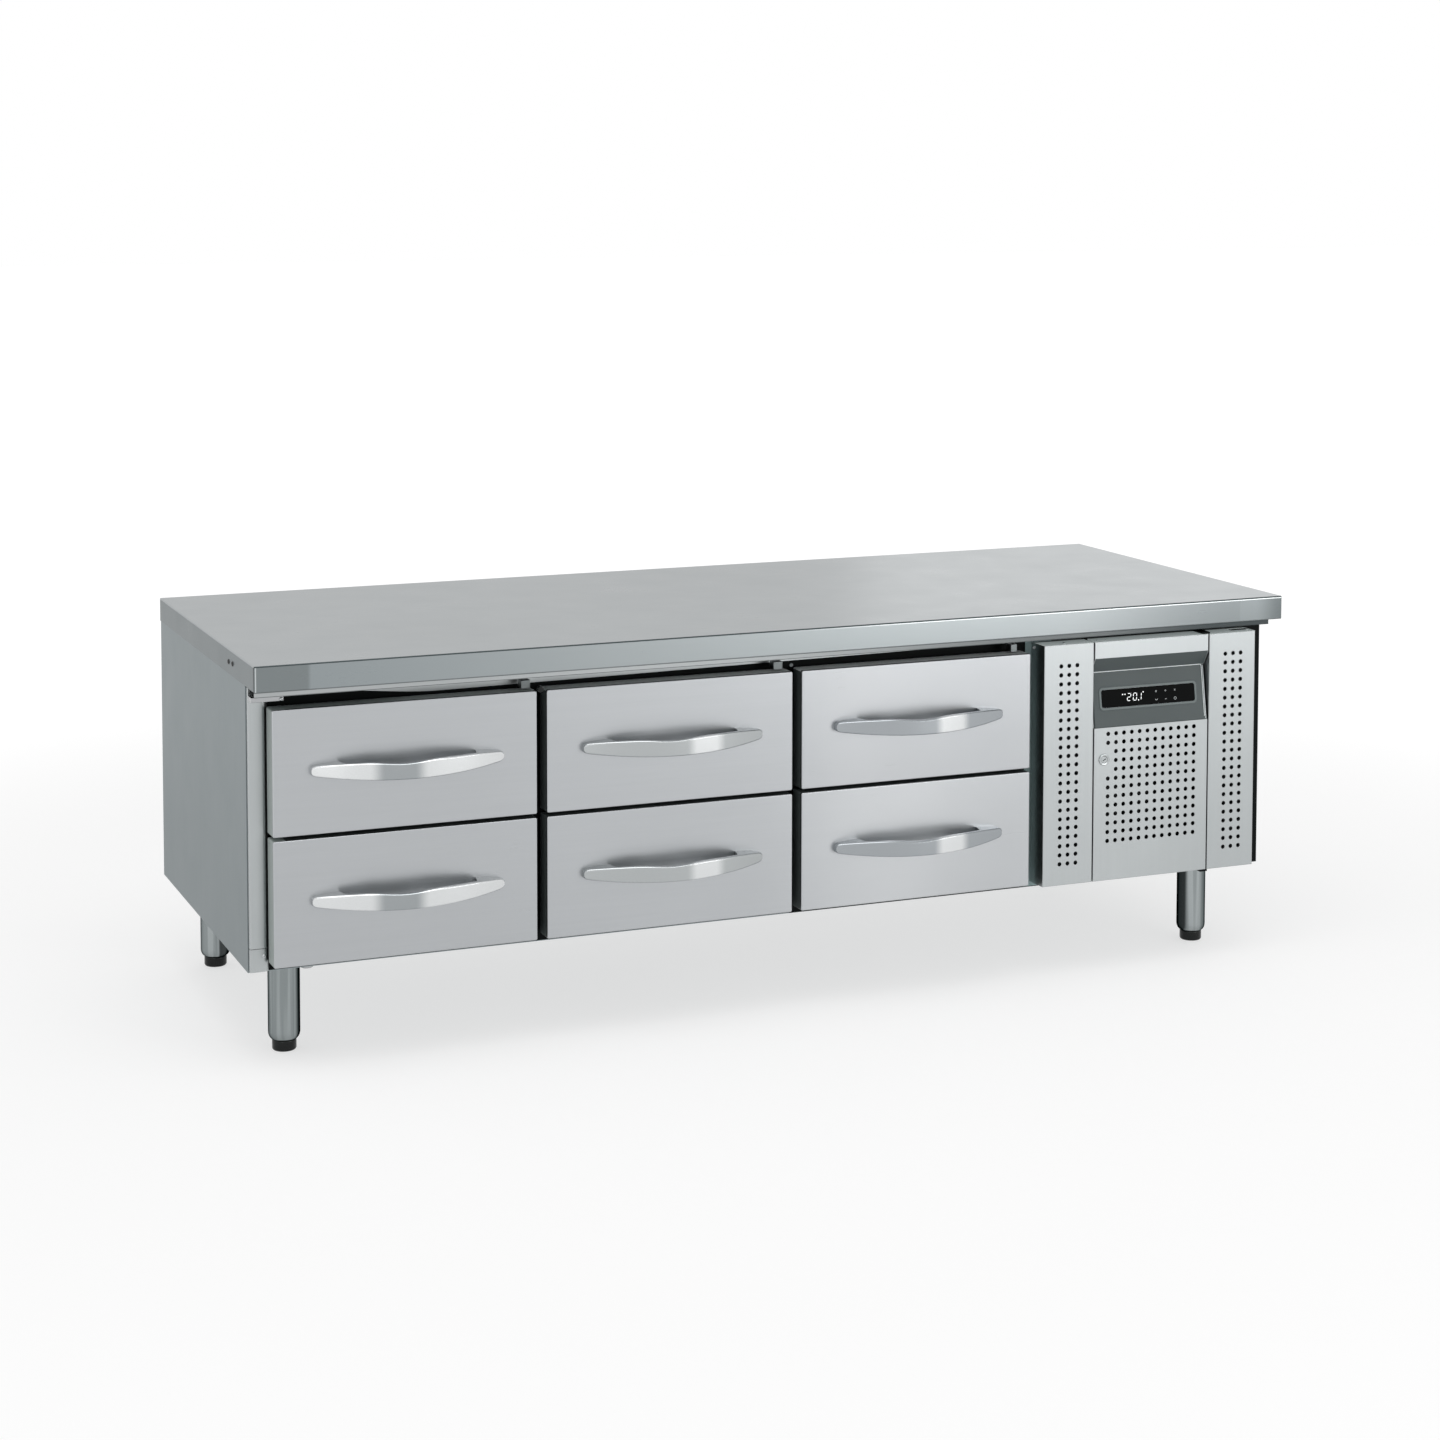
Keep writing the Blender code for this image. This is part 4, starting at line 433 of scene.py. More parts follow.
# %% Moulded and painted finishes
def moulded(name, colour, roughness, grain, lift, depth, mirror=0.5):
    """An even finish with a grain of so many waves a metre and a colour that lifts a little."""
    made = Finish(name, colour, roughness, Specular_IOR_Level=mirror)
    speck = made.noise((grain, grain, grain), 2.0)
    cloud = made.noise((14.0, 14.0, 14.0), 3.0)
    light = [part * lift for part in colour]
    made.feed("Base Color", made.blend(0.5 * speck + 0.5 * cloud, colour, light))
    made.feed("Roughness", roughness - 0.08 + 0.16 * cloud)
    made.relief(speck, depth)
    return made


foot_plastic = moulded("foot_plastic", (0.006, 0.0075, 0.0075), 0.18, 1400.0, 1.9, 0.00001, 0.25)
gasket_rubber = moulded("gasket_rubber", (0.016, 0.017, 0.017), 0.62, 700.0, 1.8, 0.00003, 0.10)
foam = moulded("insulation_foam", (0.72, 0.64, 0.40), 0.88, 500.0, 1.15, 0.0003)
fascia_paint = moulded("fascia_paint", (0.062, 0.079, 0.080), 0.48, 1800.0, 1.15, 0.00001)
# Painted highlight: the trim's bright paint stands for light on the fascia's rounded edge.
highlight_trim_paint = moulded("fascia_painted_highlight", (0.88, 0.94, 0.94), 0.26, 1500.0, 1.1, 0.00001)
rim_paint = moulded("window_rim_paint", (0.105, 0.134, 0.134), 0.34, 1500.0, 1.15, 0.00001)
black_paint = moulded("machine_paint", (0.014, 0.014, 0.015), 0.38, 300.0, 1.9, 0.00004)
display_glass = moulded("display_glass", (0.001, 0.0014, 0.0014), 0.14, 30.0, 1.6, 0.0, 0.02)
fins = GroundSteel("fin_aluminium", "z", (0.66, 0.68, 0.69), 0.38)
copper = GroundSteel("copper_tube", "z", (0.72, 0.36, 0.21), 0.28)
chrome = GroundSteel("lock_chrome", "z", (0.46, 0.485, 0.49), 0.18)
zinc = GroundSteel("zinc_screws", "x", (0.52, 0.54, 0.55), 0.28)
tab_steel = GroundSteel("steel_of_tabs", "z", (0.155, 0.17, 0.172), 0.34)
print("finishes", len(bpy.data.materials))

# %% [markdown]
# ## Modelling by hand, in code
# In Blender's window a maker adds a primitive, selects a face, extrudes or bevels it, and goes on.
# The same operators run from a script. What the mouse would click is picked here by a test on the
# place or the direction of each face or edge.


# %% Hands
def let_go():
    """Leaves edit mode and selects nothing."""
    if bpy.context.mode != "OBJECT":
        bpy.ops.object.mode_set(mode="OBJECT")
    bpy.ops.object.select_all(action="DESELECT")


def hold(piece):
    """Selects one piece only and makes it the active one."""
    let_go()
    piece.select_set(True)
    bpy.context.view_layer.objects.active = piece
    return piece


@contextmanager
def editing(piece):
    """Edit mode on one piece."""
    hold(piece)
    bpy.ops.object.mode_set(mode="EDIT")
    bpy.ops.mesh.select_all(action="DESELECT")
    yield piece
    bpy.ops.object.mode_set(mode="OBJECT")


def pick(kind, test):
    """In edit mode, selects the verts, edges or faces that pass a test."""
    bpy.ops.mesh.select_mode(type={"verts": "VERT", "edges": "EDGE", "faces": "FACE"}[kind])
    bpy.ops.mesh.select_all(action="DESELECT")
    mesh = bpy.context.edit_object.data
    work = bmesh.from_edit_mesh(mesh)
    for part in [part for part in getattr(work, kind) if test(part)]:
        part.select_set(True)
    work.select_flush_mode()
    bmesh.update_edit_mesh(mesh)


def pick_all():
    bpy.ops.mesh.select_all(action="SELECT")


def at(part, **places):
    """True where every corner of an edge or face lies at the given x, y or z."""
    corners = part.verts if hasattr(part, "verts") else [part]
    return all(
        abs(getattr(v.co, axis) - place) < NEAR for axis, place in places.items() for v in corners
    )


def on_rim(edge, low, high, axes):
    """True for an edge on one of the sides of a box."""
    return any(at(edge, **{axis: getattr(side, axis)}) for axis in axes for side in (low, high))


def runs(edge, axis):
    """True for an edge that runs along one axis."""
    first, second = (v.co for v in edge.verts)
    return abs(getattr((second - first).normalized(), axis)) > 0.999


def bevel(test, offset, segments):
    """In edit mode, rounds the edges that pass a test."""
    pick("edges", test)
    bpy.ops.mesh.bevel(offset=offset, segments=segments)


print("hands ready")

# %% [markdown]
# A few moves come back in every piece: a block at its size and place, a modifier that is added and
# applied at once, a sheet with a thickness, a tool cut out and thrown away.


# %% Moves that come back
def settled(name):
    """Names the active object and writes its place, turn and size into its mesh."""
    piece = bpy.context.object
    piece.name = name
    bpy.ops.object.transform_apply(location=True, rotation=True, scale=True)
    return piece


def block(name, low, high):
    """A block from its lowest to its highest corner."""
    let_go()
    low, high = Vector(low), Vector(high)
    bpy.ops.mesh.primitive_cube_add(size=1, location=(low + high) / 2, scale=high - low)
    return settled(name)


def applied(piece, kind, **settings):
    """Adds a modifier, sets it and applies it."""
    hold(piece)
    modifier = piece.modifiers.new(kind.lower(), kind)
    for word, value in settings.items():
        setattr(modifier, word, value)
    bpy.ops.object.modifier_apply(modifier=modifier.name)
    return piece


def as_sheet(piece, thickness):
    """Turns an open surface into a sheet. The surface stays its outer side."""
    return applied(piece, "SOLIDIFY", thickness=thickness, offset=-1, use_even_offset=True)


def discard(piece):
    bpy.data.objects.remove(piece, do_unlink=True)


def cut(piece, *tools):
    """Cuts tools out of a piece and throws them away."""
    for tool in tools:
        applied(piece, "BOOLEAN", operation="DIFFERENCE", object=tool, solver="EXACT")
        discard(tool)
    return piece


print("blocks can be made and cut")

# %% [markdown]
# Other moves end a piece. Its faces are turned outwards and smoothed, it is moved, copied or joined,
# and then it is dressed: it gets a finish, the body it moves with and the solids it stands for.


# %% Moves that end a piece
def smoothed(piece, angle=35):
    """Turns the faces outwards and smooths all but the sharp edges. Wide faces stay flat."""
    with editing(piece):
        pick_all()
        bpy.ops.mesh.remove_doubles(threshold=NEAR / 10)
        bpy.ops.mesh.normals_make_consistent(inside=False)
    hold(piece)
    bpy.ops.object.shade_smooth_by_angle(angle=math.radians(angle))
    return applied(piece, "WEIGHTED_NORMAL", keep_sharp=True)


def moved(piece, place, angle=0, size=1):
    """Resizes a piece, turns it round its y axis by degrees, and moves its origin to a place."""
    spin = Matrix.Rotation(math.radians(angle), 4, "Y")
    piece.data.transform(Matrix.Translation(place) @ spin @ Matrix.Scale(size, 4))
    return piece


def copied(piece, name, shift=(0, 0, 0)):
    """A copy with its own mesh, moved by shift."""
    made = bpy.data.objects.new(name, piece.data.copy())
    bpy.context.scene.collection.objects.link(made)
    return moved(made, shift)


def joined(name, pieces):
    """Several objects as one."""
    hold(pieces[0])
    for piece in pieces[1:]:
        piece.select_set(True)
    bpy.ops.object.join()
    pieces[0].name = name
    return pieces[0]


def dressed(piece, finish, *nodes, body="cabinet", slot="brushed_steel"):
    """Gives a piece its finish, the body it moves with and the solids it stands for."""
    piece.data.materials.clear()
    piece.data.materials.append(finish.material)
    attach(piece, body)
    if nodes:
        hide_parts(*nodes)
    return piece


print("moves ready")

# %% [markdown]
# Legs, feet, lock and screws are round. On a lathe the profile goes from one diameter to the next.
# Here a disc is extruded and resized in the same way, step by step along its axis, which gives even
# rings and closed ends, with no pole to mend.


# %% Turned pieces
def turned(name, profile, sides, place=(0, 0, 0), turn=(0, 0, 0)):
    """A disc extruded and resized along a profile of (radius, height) points."""
    let_go()
    radius, height = profile[0]
    bpy.ops.mesh.primitive_circle_add(
        vertices=sides, radius=radius, location=(0, 0, height), fill_type="NGON"
    )
    piece = settled(name)
    with editing(piece):
        pick_all()
        for next_radius, next_height in profile[1:]:
            rise = next_height - height
            bpy.ops.mesh.extrude_region_move(TRANSFORM_OT_translate={"value": (0, 0, rise)})
            wider = next_radius / radius
            bpy.ops.transform.resize(value=(wider, wider, 1), center_override=(0, 0, next_height))
            radius, height = next_radius, next_height
    hold(piece)
    piece.rotation_euler = turn
    piece.location = place
    bpy.ops.object.transform_apply(location=True, rotation=True, scale=True)
    return smoothed(piece)


FORWARD = (math.pi / 2, 0, 0)
print("the lathe turns, and FORWARD lays its axis towards the front")

# %% [markdown]
# ## The worktop
# A pan of 1.2 mm steel, bent down on all four sides and turned in again below, so that no hand
# meets a cut edge. It could be a solid slab, but then the return under the edge and the hollow
# behind it would be missing from below. So a block is opened from below, keeps a lip there, has its
# folds rounded, and then becomes a sheet with Solidify.

# %% Worktop
low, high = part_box("worktop")
worktop = block("worktop_pan", low, high)
SHEET = 0.0012
LIP = 0.025
FOLD = 0.0016


def at_fold(edge):
    """True for the pan's corners and for the upper and lower edges of its skirt."""
    return on_rim(edge, low, high, "xy") and (runs(edge, "z") or on_rim(edge, low, high, "z"))


with editing(worktop):
    pick("faces", lambda face: face.normal.z < -0.9)
    bpy.ops.mesh.inset(thickness=LIP)
    bpy.ops.mesh.delete(type="FACE")
    bevel(at_fold, FOLD, 3)
as_sheet(worktop, SHEET)
smoothed(worktop)
dressed(worktop, worktop_steel, "worktop")
print("worktop", len(worktop.data.polygons), "faces")

# %% [markdown]
# ## Drawer fronts
# Each front is a shallow steel box filled with foam: the skin is bent back round its edges, which
# leaves a soft bright line along each side. The seal sits in a step on the back. One is modelled and
# five are copied, because a press makes them alike too.

# %% Drawer fronts
DRAWERS = [f"{column}_{level}" for column in (1, 2, 3) for level in ("lower", "upper")]
low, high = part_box("drawer_front_1_upper")
model_place = low.copy()


def on_each_drawer(model, name, node, finish, slot):
    """Copies a model to the six drawers and throws it away."""
    for tag in DRAWERS:
        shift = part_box(f"drawer_front_{tag}")[0] - model_place
        piece = copied(model, f"{name}_{tag}", shift)
        dressed(piece, finish, f"{node}_{tag}", body=f"drawer_{tag}", slot=slot)
    discard(model)


SIDE_ROUND, FACE_ROUND = 0.0026, 0.0018
STEP_WIDTH, STEP_DEPTH = 0.0016, 0.0008
front_model = block("drawer_front_model", low, high)
with editing(front_model):
    bevel(lambda edge: runs(edge, "y"), SIDE_ROUND, 3)
    bevel(lambda edge: at(edge, y=low.y), FACE_ROUND, 4)
    pick("faces", lambda face: face.normal.y > 0.9)
    bpy.ops.mesh.inset(thickness=STEP_WIDTH)
    bpy.ops.transform.translate(value=(0, -STEP_DEPTH, 0))
smoothed(front_model)
on_each_drawer(front_model, "drawer_pan", "drawer_front", front_steel, "brushed_steel")
print("drawer fronts", len(DRAWERS))

# %% [markdown]
# ## Handles
# The bow handle is cast: flat feet at both ends, and between them a grip that swells forwards in one
# even bow. Its lower edge hangs a little, and its top rises a little and has a slight dip left of
# the middle. Such a shape is easiest as a long bar that is cut into stations. At each station the
# corners of the bar's section are moved to where the casting has them, and then the long edges are
# rounded.

# %% Handle sizes
FACE = model_place.y
LENGTH = 0.303
TOP_DROP = 0.0875
END_HEIGHT = 0.015
END_REACH = 0.010
FOOT_LENGTH = 0.0445
EDGE = 0.0016
SWELL, HANG, RISE = 0.038, 0.0082, 0.0048
DIP, DIP_PLACE, DIP_REACH = 0.0036, -0.014, 0.060
GRIP_THICKNESS = 0.008
TIP_LENGTH, TIP_DRAW = 0.0075, 0.0034
middle = (low.x + high.x) / 2
top = high.z - TOP_DROP
back = FACE - 0.0003
half = LENGTH / 2
foot_end = half - FOOT_LENGTH
one_side = [0.0, 0.012, 0.024, 0.036, 0.048, 0.060, 0.072, 0.084, 0.094]
one_side += [foot_end - inside for inside in (0.0040, 0.0022, 0.0010, 0.0003, 0.0)]
one_side += [0.116, 0.126, 0.136, half - TIP_LENGTH, half - 0.0040, half - 0.0015, half]
STATIONS = sorted({side * x for side in (-1, 1) for x in one_side})
print("stations", len(STATIONS))

# %% [markdown]
# Three things change along the bar: the grip stands free of the front between the feet, both tips
# are drawn in, and the top rises and dips. One function says where the six corners lie at any x.


# %% Section of the handle
def crest(x, power):
    """1 in the middle, 0 at both ends."""
    return 1 - (abs(x) / half) ** power


def corners(back, front, low_z, high_z):
    """The six corners of a bar whose front edges are cut off, from back top round to back bottom."""
    return (
        (back, high_z),
        (front + EDGE, high_z),
        (front, high_z - EDGE),
        (front, low_z + EDGE),
        (front + EDGE, low_z),
        (back, low_z),
    )


def section(x):
    """Where the casting's corners lie at x."""
    depth = END_REACH + SWELL * crest(x, 2)
    inside = foot_end - abs(x)
    grip = (depth - GRIP_THICKNESS) * math.sqrt(min(inside / 0.004, 1)) if inside > 0 else 0.0
    from_end = max(1 - (half - abs(x)) / TIP_LENGTH, 0)
    draw_in = TIP_DRAW * (1 - math.sqrt(1 - 0.98 * from_end**2))
    from_dip = min(abs(x - DIP_PLACE) / DIP_REACH, 1)
    dip = DIP * (1 + math.cos(math.pi * from_dip)) / 2
    high_z = top + RISE * crest(x, 4) - draw_in - dip
    low_z = top - END_HEIGHT - HANG * crest(x, 2) + draw_in
    return corners(back - grip, back - depth, low_z, high_z)


print("the grip reaches", round(END_REACH + SWELL, 4), "m forwards in the middle")

# %% [markdown]
# The bar starts with six corners all along, and each corner of each station has one place to go to.

# %% Handle
bar_low = Vector((middle - half, back - END_REACH, top - END_HEIGHT))
bar_high = Vector((middle + half, back, top))
handle_model = block("handle_model", bar_low, bar_high)
with editing(handle_model):
    bevel(lambda edge: runs(edge, "x") and at(edge, y=bar_low.y), EDGE, 1)
    for x in STATIONS[1:-1]:
        pick_all()
        bpy.ops.mesh.bisect(plane_co=(middle + x, back, top), plane_no=(1, 0, 0))
    resting = corners(bar_high.y, bar_low.y, bar_low.z, bar_high.z)
    for x in STATIONS:
        for corner, goal in zip(resting, section(x)):
            pick("verts", lambda v: at(v, x=middle + x, y=corner[0], z=corner[1]))
            bpy.ops.transform.translate(value=(0, goal[0] - corner[0], goal[1] - corner[1]))
    bevel(
        lambda edge: abs(edge.verts[0].co.x - edge.verts[1].co.x) > NEAR
        and edge.calc_face_angle() > 0.5
        and not at(edge, y=back),
        0.0007,
        3,
    )
smoothed(handle_model, 50)
on_each_drawer(handle_model, "bow_handle", "drawer_handle", handle_metal, "satin_aluminium")
print("handles", len(DRAWERS))

# %% [markdown]
# ## Punched steel
# Air reaches the machinery through rows of round holes, 7.5 mm wide and 15.3 mm apart. Cutting three
# hundred holes with a Boolean is slow and leaves long thin faces. A single square cell with a round
# hole in it, repeated by two Array modifiers, gives an even mesh. The blank margin is then extruded
# from the edge of that field, and the flanges from the edge of the margin.

# %% Punched field
PITCH = 0.0153
HOLE = 0.00375


def punched_field(name, left, top, columns, rows):
    """A sheet of square cells, each with a round hole. left and top are the first hole's centre."""
    let_go()
    place = (left, FACE, top)
    bpy.ops.mesh.primitive_circle_add(
        vertices=4, radius=PITCH / math.sqrt(2), location=place, rotation=(math.pi / 2, math.pi / 4, 0)
    )
    sheet = settled(name)
    with editing(sheet):
        pick_all()
        bpy.ops.mesh.subdivide(number_cuts=3)
        bpy.ops.mesh.primitive_circle_add(vertices=16, radius=HOLE, location=place, rotation=FORWARD)
        pick_all()
        bpy.ops.mesh.bridge_edge_loops()
    for count, step in ((columns, (PITCH, 0, 0)), (rows, (0, 0, -PITCH))):
        settings = {"use_relative_offset": False, "use_constant_offset": True}
        settings |= {"use_merge_vertices": True, "merge_threshold": NEAR}
        applied(sheet, "ARRAY", count=count, constant_offset_displace=step, **settings)
    return sheet


print("holes are", 2 * HOLE, "m wide")

# %% [markdown]
# Margins and flanges grow from a sheet's open edges. An open sheet has no inside to tell by, so its
# faces are turned to where most of them should look, which is the front.


# %% Open edges
def stretch_edge(test, step):
    """Extrudes the open edges that pass a test by one step."""
    pick("edges", lambda edge: edge.is_boundary and test(edge))
    bpy.ops.mesh.extrude_edges_move(TRANSFORM_OT_translate={"value": step})


def add_margin(sheet, left, right, bottom, top):
    """Extrudes the field's four sides out to a rectangle."""
    xs = [v.co.x for v in sheet.data.vertices]
    zs = [v.co.z for v in sheet.data.vertices]
    with editing(sheet):
        stretch_edge(lambda edge: at(edge, z=max(zs)), (0, 0, top - max(zs)))
        stretch_edge(lambda edge: at(edge, z=min(zs)), (0, 0, bottom - min(zs)))
        stretch_edge(lambda edge: at(edge, x=min(xs)), (left - min(xs), 0, 0))
        stretch_edge(lambda edge: at(edge, x=max(xs)), (right - max(xs), 0, 0))


def face_forward(sheet):
    """Turns an open sheet's faces towards the front."""
    with editing(sheet):
        pick_all()
        bpy.ops.mesh.normals_make_consistent(inside=False)
        if sum(face.normal.y for face in bmesh.from_edit_mesh(sheet.data).faces) > 0:
            bpy.ops.mesh.flip_normals()


print("a field can get a margin and flanges")

# %% [markdown]
# ## The two fixed strips
# Each strip is a tray: a face with three columns of holes and flanges on all four sides. The flange
# next to the hinged panel is shorter, because the lock's cam swings behind it. The right strip has
# a long slot in its top flange.

# %% Strips
FLANGE = 0.022
SHEET_ANGLE = 12
STRIP_COLUMNS, STRIP_ROWS = 3, 23


def perforated_strip(name, node, inner_side, narrower=0.0):
    """A tray with three columns of holes. inner_side is 1 where the panel is on its right."""
    low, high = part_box(node)
    middle = (low.x + high.x) / 2
    high.x -= narrower
    centre = (low.z + high.z) / 2
    first_x = middle - (STRIP_COLUMNS - 1) / 2 * PITCH
    first_z = centre + (STRIP_ROWS - 1) / 2 * PITCH
    sheet = punched_field(name, first_x, first_z, STRIP_COLUMNS, STRIP_ROWS)
    add_margin(sheet, low.x, high.x, low.z, high.z)
    inner = high.x if inner_side > 0 else low.x
    with editing(sheet):
        stretch_edge(lambda edge: on_rim(edge, low, high, "xz"), (0, FLANGE, 0))
        stretch_edge(lambda edge: not at(edge, x=inner), (0, high.y - FACE - FLANGE, 0))
    face_forward(sheet)
    with editing(sheet):
        bevel(lambda edge: at(edge, y=FACE) and on_rim(edge, low, high, "xz"), 0.0013, 3)
    return as_sheet(sheet, SHEET)


left_strip = perforated_strip("perforated_strip_left", "grille_left", 1)
right_strip = perforated_strip("perforated_strip_right", "grille_right", -1, 0.003)
low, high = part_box("grille_right")
slot_middle = Vector((high.x - (high.x - low.x) / 4, (FACE + high.y) / 2, high.z))
slot_half = Vector((0.018, 0.007, 0.005))
cut(right_strip, block("slot_tool", slot_middle - slot_half, slot_middle + slot_half))
for strip, node in ((left_strip, "grille_left"), (right_strip, "grille_right")):
    smoothed(strip, SHEET_ANGLE)
    dressed(strip, grille_steel, node)
    print(strip.name, len(strip.data.polygons), "faces")

# %% [markdown]
# ## The hinged panel
# The panel between the strips swings open for cleaning the coil. Its sheet climbs past the holes,
# steps back, leans inwards behind the controls, comes forward again under a plain band and folds
# back at the top. Extruding the top edge step by step follows the bends in the order in which a
# press brake makes them. The side walls are extruded straight back and flattened to one depth.
# Beside the lock, three holes of the first column are filled again, so that it sits in whole sheet.

# %% Hinged panel
low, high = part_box("service_door")
LEFT, RIGHT, BOTTOM, TOP = low.x, high.x, low.z, high.z
PANEL_COLUMNS, PANEL_ROWS = 12, 13
FIRST_HOLE = Vector(((LEFT + RIGHT) / 2 - (PANEL_COLUMNS - 1) / 2 * PITCH, FACE, TOP - 0.158))
ROWS_AT_LOCK = (2, 3, 4)
FASCIA_LOW = TOP - 0.147
FIRST_BEND = FASCIA_LOW - 0.0003
SIDE_DEPTH = 0.025
panel = punched_field("hinged_panel", FIRST_HOLE.x, FIRST_HOLE.z, PANEL_COLUMNS, PANEL_ROWS)
with editing(panel):
    for row in ROWS_AT_LOCK:
        centre = FIRST_HOLE - Vector((0, 0, row * PITCH))
        pick(
            "edges",
            lambda edge: edge.is_boundary
            and all((v.co - centre).length < HOLE * 1.1 for v in edge.verts),
        )
        bpy.ops.mesh.edge_face_add()
add_margin(panel, LEFT, RIGHT, BOTTOM, FIRST_BEND)
BENDS = ((0.0033, 0.0003), (0.0140, 0.0933), (-0.0033, 0.0003), (-0.0140, 0.0244), (0.0, 0.0290))
with editing(panel):
    y, z = FACE, FIRST_BEND
    for step_back, rise in BENDS:
        stretch_edge(lambda edge: at(edge, y=y, z=z), (0, step_back, rise))
        y, z = y + step_back, z + rise
    stretch_edge(lambda edge: at(edge, x=LEFT) or at(edge, x=RIGHT), (0, SIDE_DEPTH + 0.005, 0))
    bpy.ops.transform.resize(value=(1, 0, 1), center_override=(0, FACE + SIDE_DEPTH, 0))
    stretch_edge(lambda edge: at(edge, y=FACE, z=BOTTOM), (0, SIDE_DEPTH, 0))
    stretch_edge(lambda edge: at(edge, y=FACE, z=TOP), (0, SIDE_DEPTH, 0))
    pick_all()
    bpy.ops.mesh.remove_doubles(threshold=NEAR)
    stretch_edge(lambda edge: at(edge, y=FACE + SIDE_DEPTH, z=TOP), (0, 0.015, 0))
    pick("verts", lambda v: at(v, x=LEFT, y=FACE + SIDE_DEPTH + 0.015))
    bpy.ops.transform.translate(value=(0.007, 0, 0))
face_forward(panel)
with editing(panel):
    bevel(lambda edge: at(edge, y=FACE) and on_rim(edge, low, high, "xz"), 0.0011, 3)
as_sheet(panel, SHEET)
print("hinged panel", len(panel.data.polygons), "faces")

# %% [markdown]
# The panel turns on two pins and carries the lock, so those holes are cut as the last step, with
# round tools a little wider than what goes through them.

# %% Holes in the hinged panel
LOCK = Vector((LEFT + 0.0192, FACE, TOP - 0.2015))
PIVOT = Vector((RIGHT - 0.004, FACE + 0.004, 0))
tools = [turned("lock_tool", ((0.0083, -0.01), (0.0083, 0.01)), 32, LOCK, FORWARD)]
for end in (TOP, BOTTOM):
    place = (PIVOT.x, PIVOT.y, end)
    tools.append(turned("pin_tool", ((0.0023, -0.006), (0.0023, 0.006)), 16, place))
cut(panel, *tools)
smoothed(panel, SHEET_ANGLE)
dressed(panel, grille_steel, "service_door", body="service_panel")
print("holes cut", len(tools))

# %% [markdown]
# ## The leaning fascia
# A grey plate leans back under the band, so that a cook who stands over the counter can read it. It
# is modelled upright in its own frame, x to the right and z up its face, and then set in place by
# one matrix. A rim lies round its window, a bright trim along its top and right is a painted
# highlight where the plate's rounded edge catches light, and a lining of the same paint covers the
# slope above it. First come the matrix and the blocks that all of these need.

# %% Frame of the fascia
top_of_fascia = Vector(((LEFT + RIGHT) / 2, FACE + 0.014, FASCIA_LOW + 0.093))
SLOPE = (0, 0.014, 0.093)
LINING_SLOPE = (0, -0.0140, 0.0244)
half_wide, half_tall = 0.091, 0.015
SHIFT, DROP = -0.003, 0.046


def leaning(place, slope):
    """The matrix that sets an upright piece on a slope."""
    up = Vector(slope).normalized()
    into = Vector((0, up.z, -up.y))
    turn = Matrix(((1, 0, 0), (0, into.y, up.y), (0, into.z, up.z)))
    return Matrix.Translation(place) @ turn.to_4x4()


def leaned(piece, matrix=leaning(top_of_fascia, SLOPE)):
    """Sets an upright piece into the panel, on the fascia's slope if nothing else is said."""
    piece.data.transform(matrix)
    return smoothed(piece)


def rounded_block(name, low, high, corner, edge=0.0):
    """A block whose corners are rounded as seen from the front, and then its front edge."""
    piece = block(name, low, high)
    with editing(piece):
        bevel(lambda part: runs(part, "y"), corner, 5)
        if edge:
            bevel(lambda part: at(part, y=low[1]), edge, 3)
    return piece


def window_block(name, margin, front, back, corner, edge=0.0):
    """A rounded block that is wider than the display's window by a margin on every side."""
    wide, tall = half_wide + margin, half_tall + margin
    low, high = (SHIFT - wide, front, -DROP - tall), (SHIFT + wide, back, -DROP + tall)
    return rounded_block(name, low, high, corner, edge)


def ridged_block(name, low, high, axis, edge):
    """A block with the front edges along one axis rounded."""
    piece = block(name, low, high)
    with editing(piece):
        bevel(lambda part: runs(part, axis) and at(part, y=low[1]), edge, 2)
    return piece


print("window", 2 * half_wide, "by", 2 * half_tall, "m")

# %% [markdown]
# Window and trim are cut with tools that are made like the pieces themselves.

# %% Fascia
side = (RIGHT - LEFT - 0.003) / 2
TALL = math.hypot(*SLOPE)
fascia = rounded_block("fascia_plate", (-side, 0, -TALL), (side, 0.003, 0), 0.0015, 0.0012)
cut(fascia, window_block("window_tool", 0.0003, -0.01, 0.01, 0.0043))
rim = window_block("window_rim", 0.0045, -0.0012, 0.0010, 0.0075, 0.0008)
cut(rim, window_block("rim_tool", 0.0006, -0.01, 0.01, 0.0045))
# The trim is a painted highlight along the fascia's top and right.
trim_low, trim_high = (-side, -0.0009, -TALL + 0.004), (side - 0.004, 0.0002, 0.0006)
trim = rounded_block("fascia_highlight_trim", trim_low, trim_high, 0.0035, 0.0004)
tool_low, tool_high = (-side - 0.01, -0.01, -TALL - 0.01), (side - 0.0050, 0.01, -0.0006)
cut(trim, rounded_block("trim_tool", tool_low, tool_high, 0.0030))
outer_low, outer_high = (side - 0.0024, -0.0006, -TALL + 0.001), (side - 0.0014, 0.0002, -0.002)
trim = joined("fascia_highlight_trim", [trim, ridged_block("outer_trim", outer_low, outer_high, "z", 0.0003)])
lining = ridged_block("recess_lining", (-side, 0.0002, -0.0003), (side, 0.0011, 0.0275), "x", 0.0004)
leaned(lining, leaning(top_of_fascia + Vector((0, -0.0012, 0.0012)), LINING_SLOPE))
leaned(trim)
on_fascia = {"body": "service_panel", "slot": "fascia_grey"}
dressed(leaned(fascia), fascia_paint, "control_fascia", **on_fascia)
for piece, paint in ((lining, fascia_paint), (trim, highlight_trim_paint), (leaned(rim), rim_paint)):
    dressed(piece, paint, **on_fascia)
print("fascia", len(fascia.data.polygons), "faces")

# %% [markdown]
# ## The display
# A thermometer window of dark glass. The reading is made of the seven bars of every such display,
# each a flat six-sided bar, copied where the figure needs it and slanted a little.

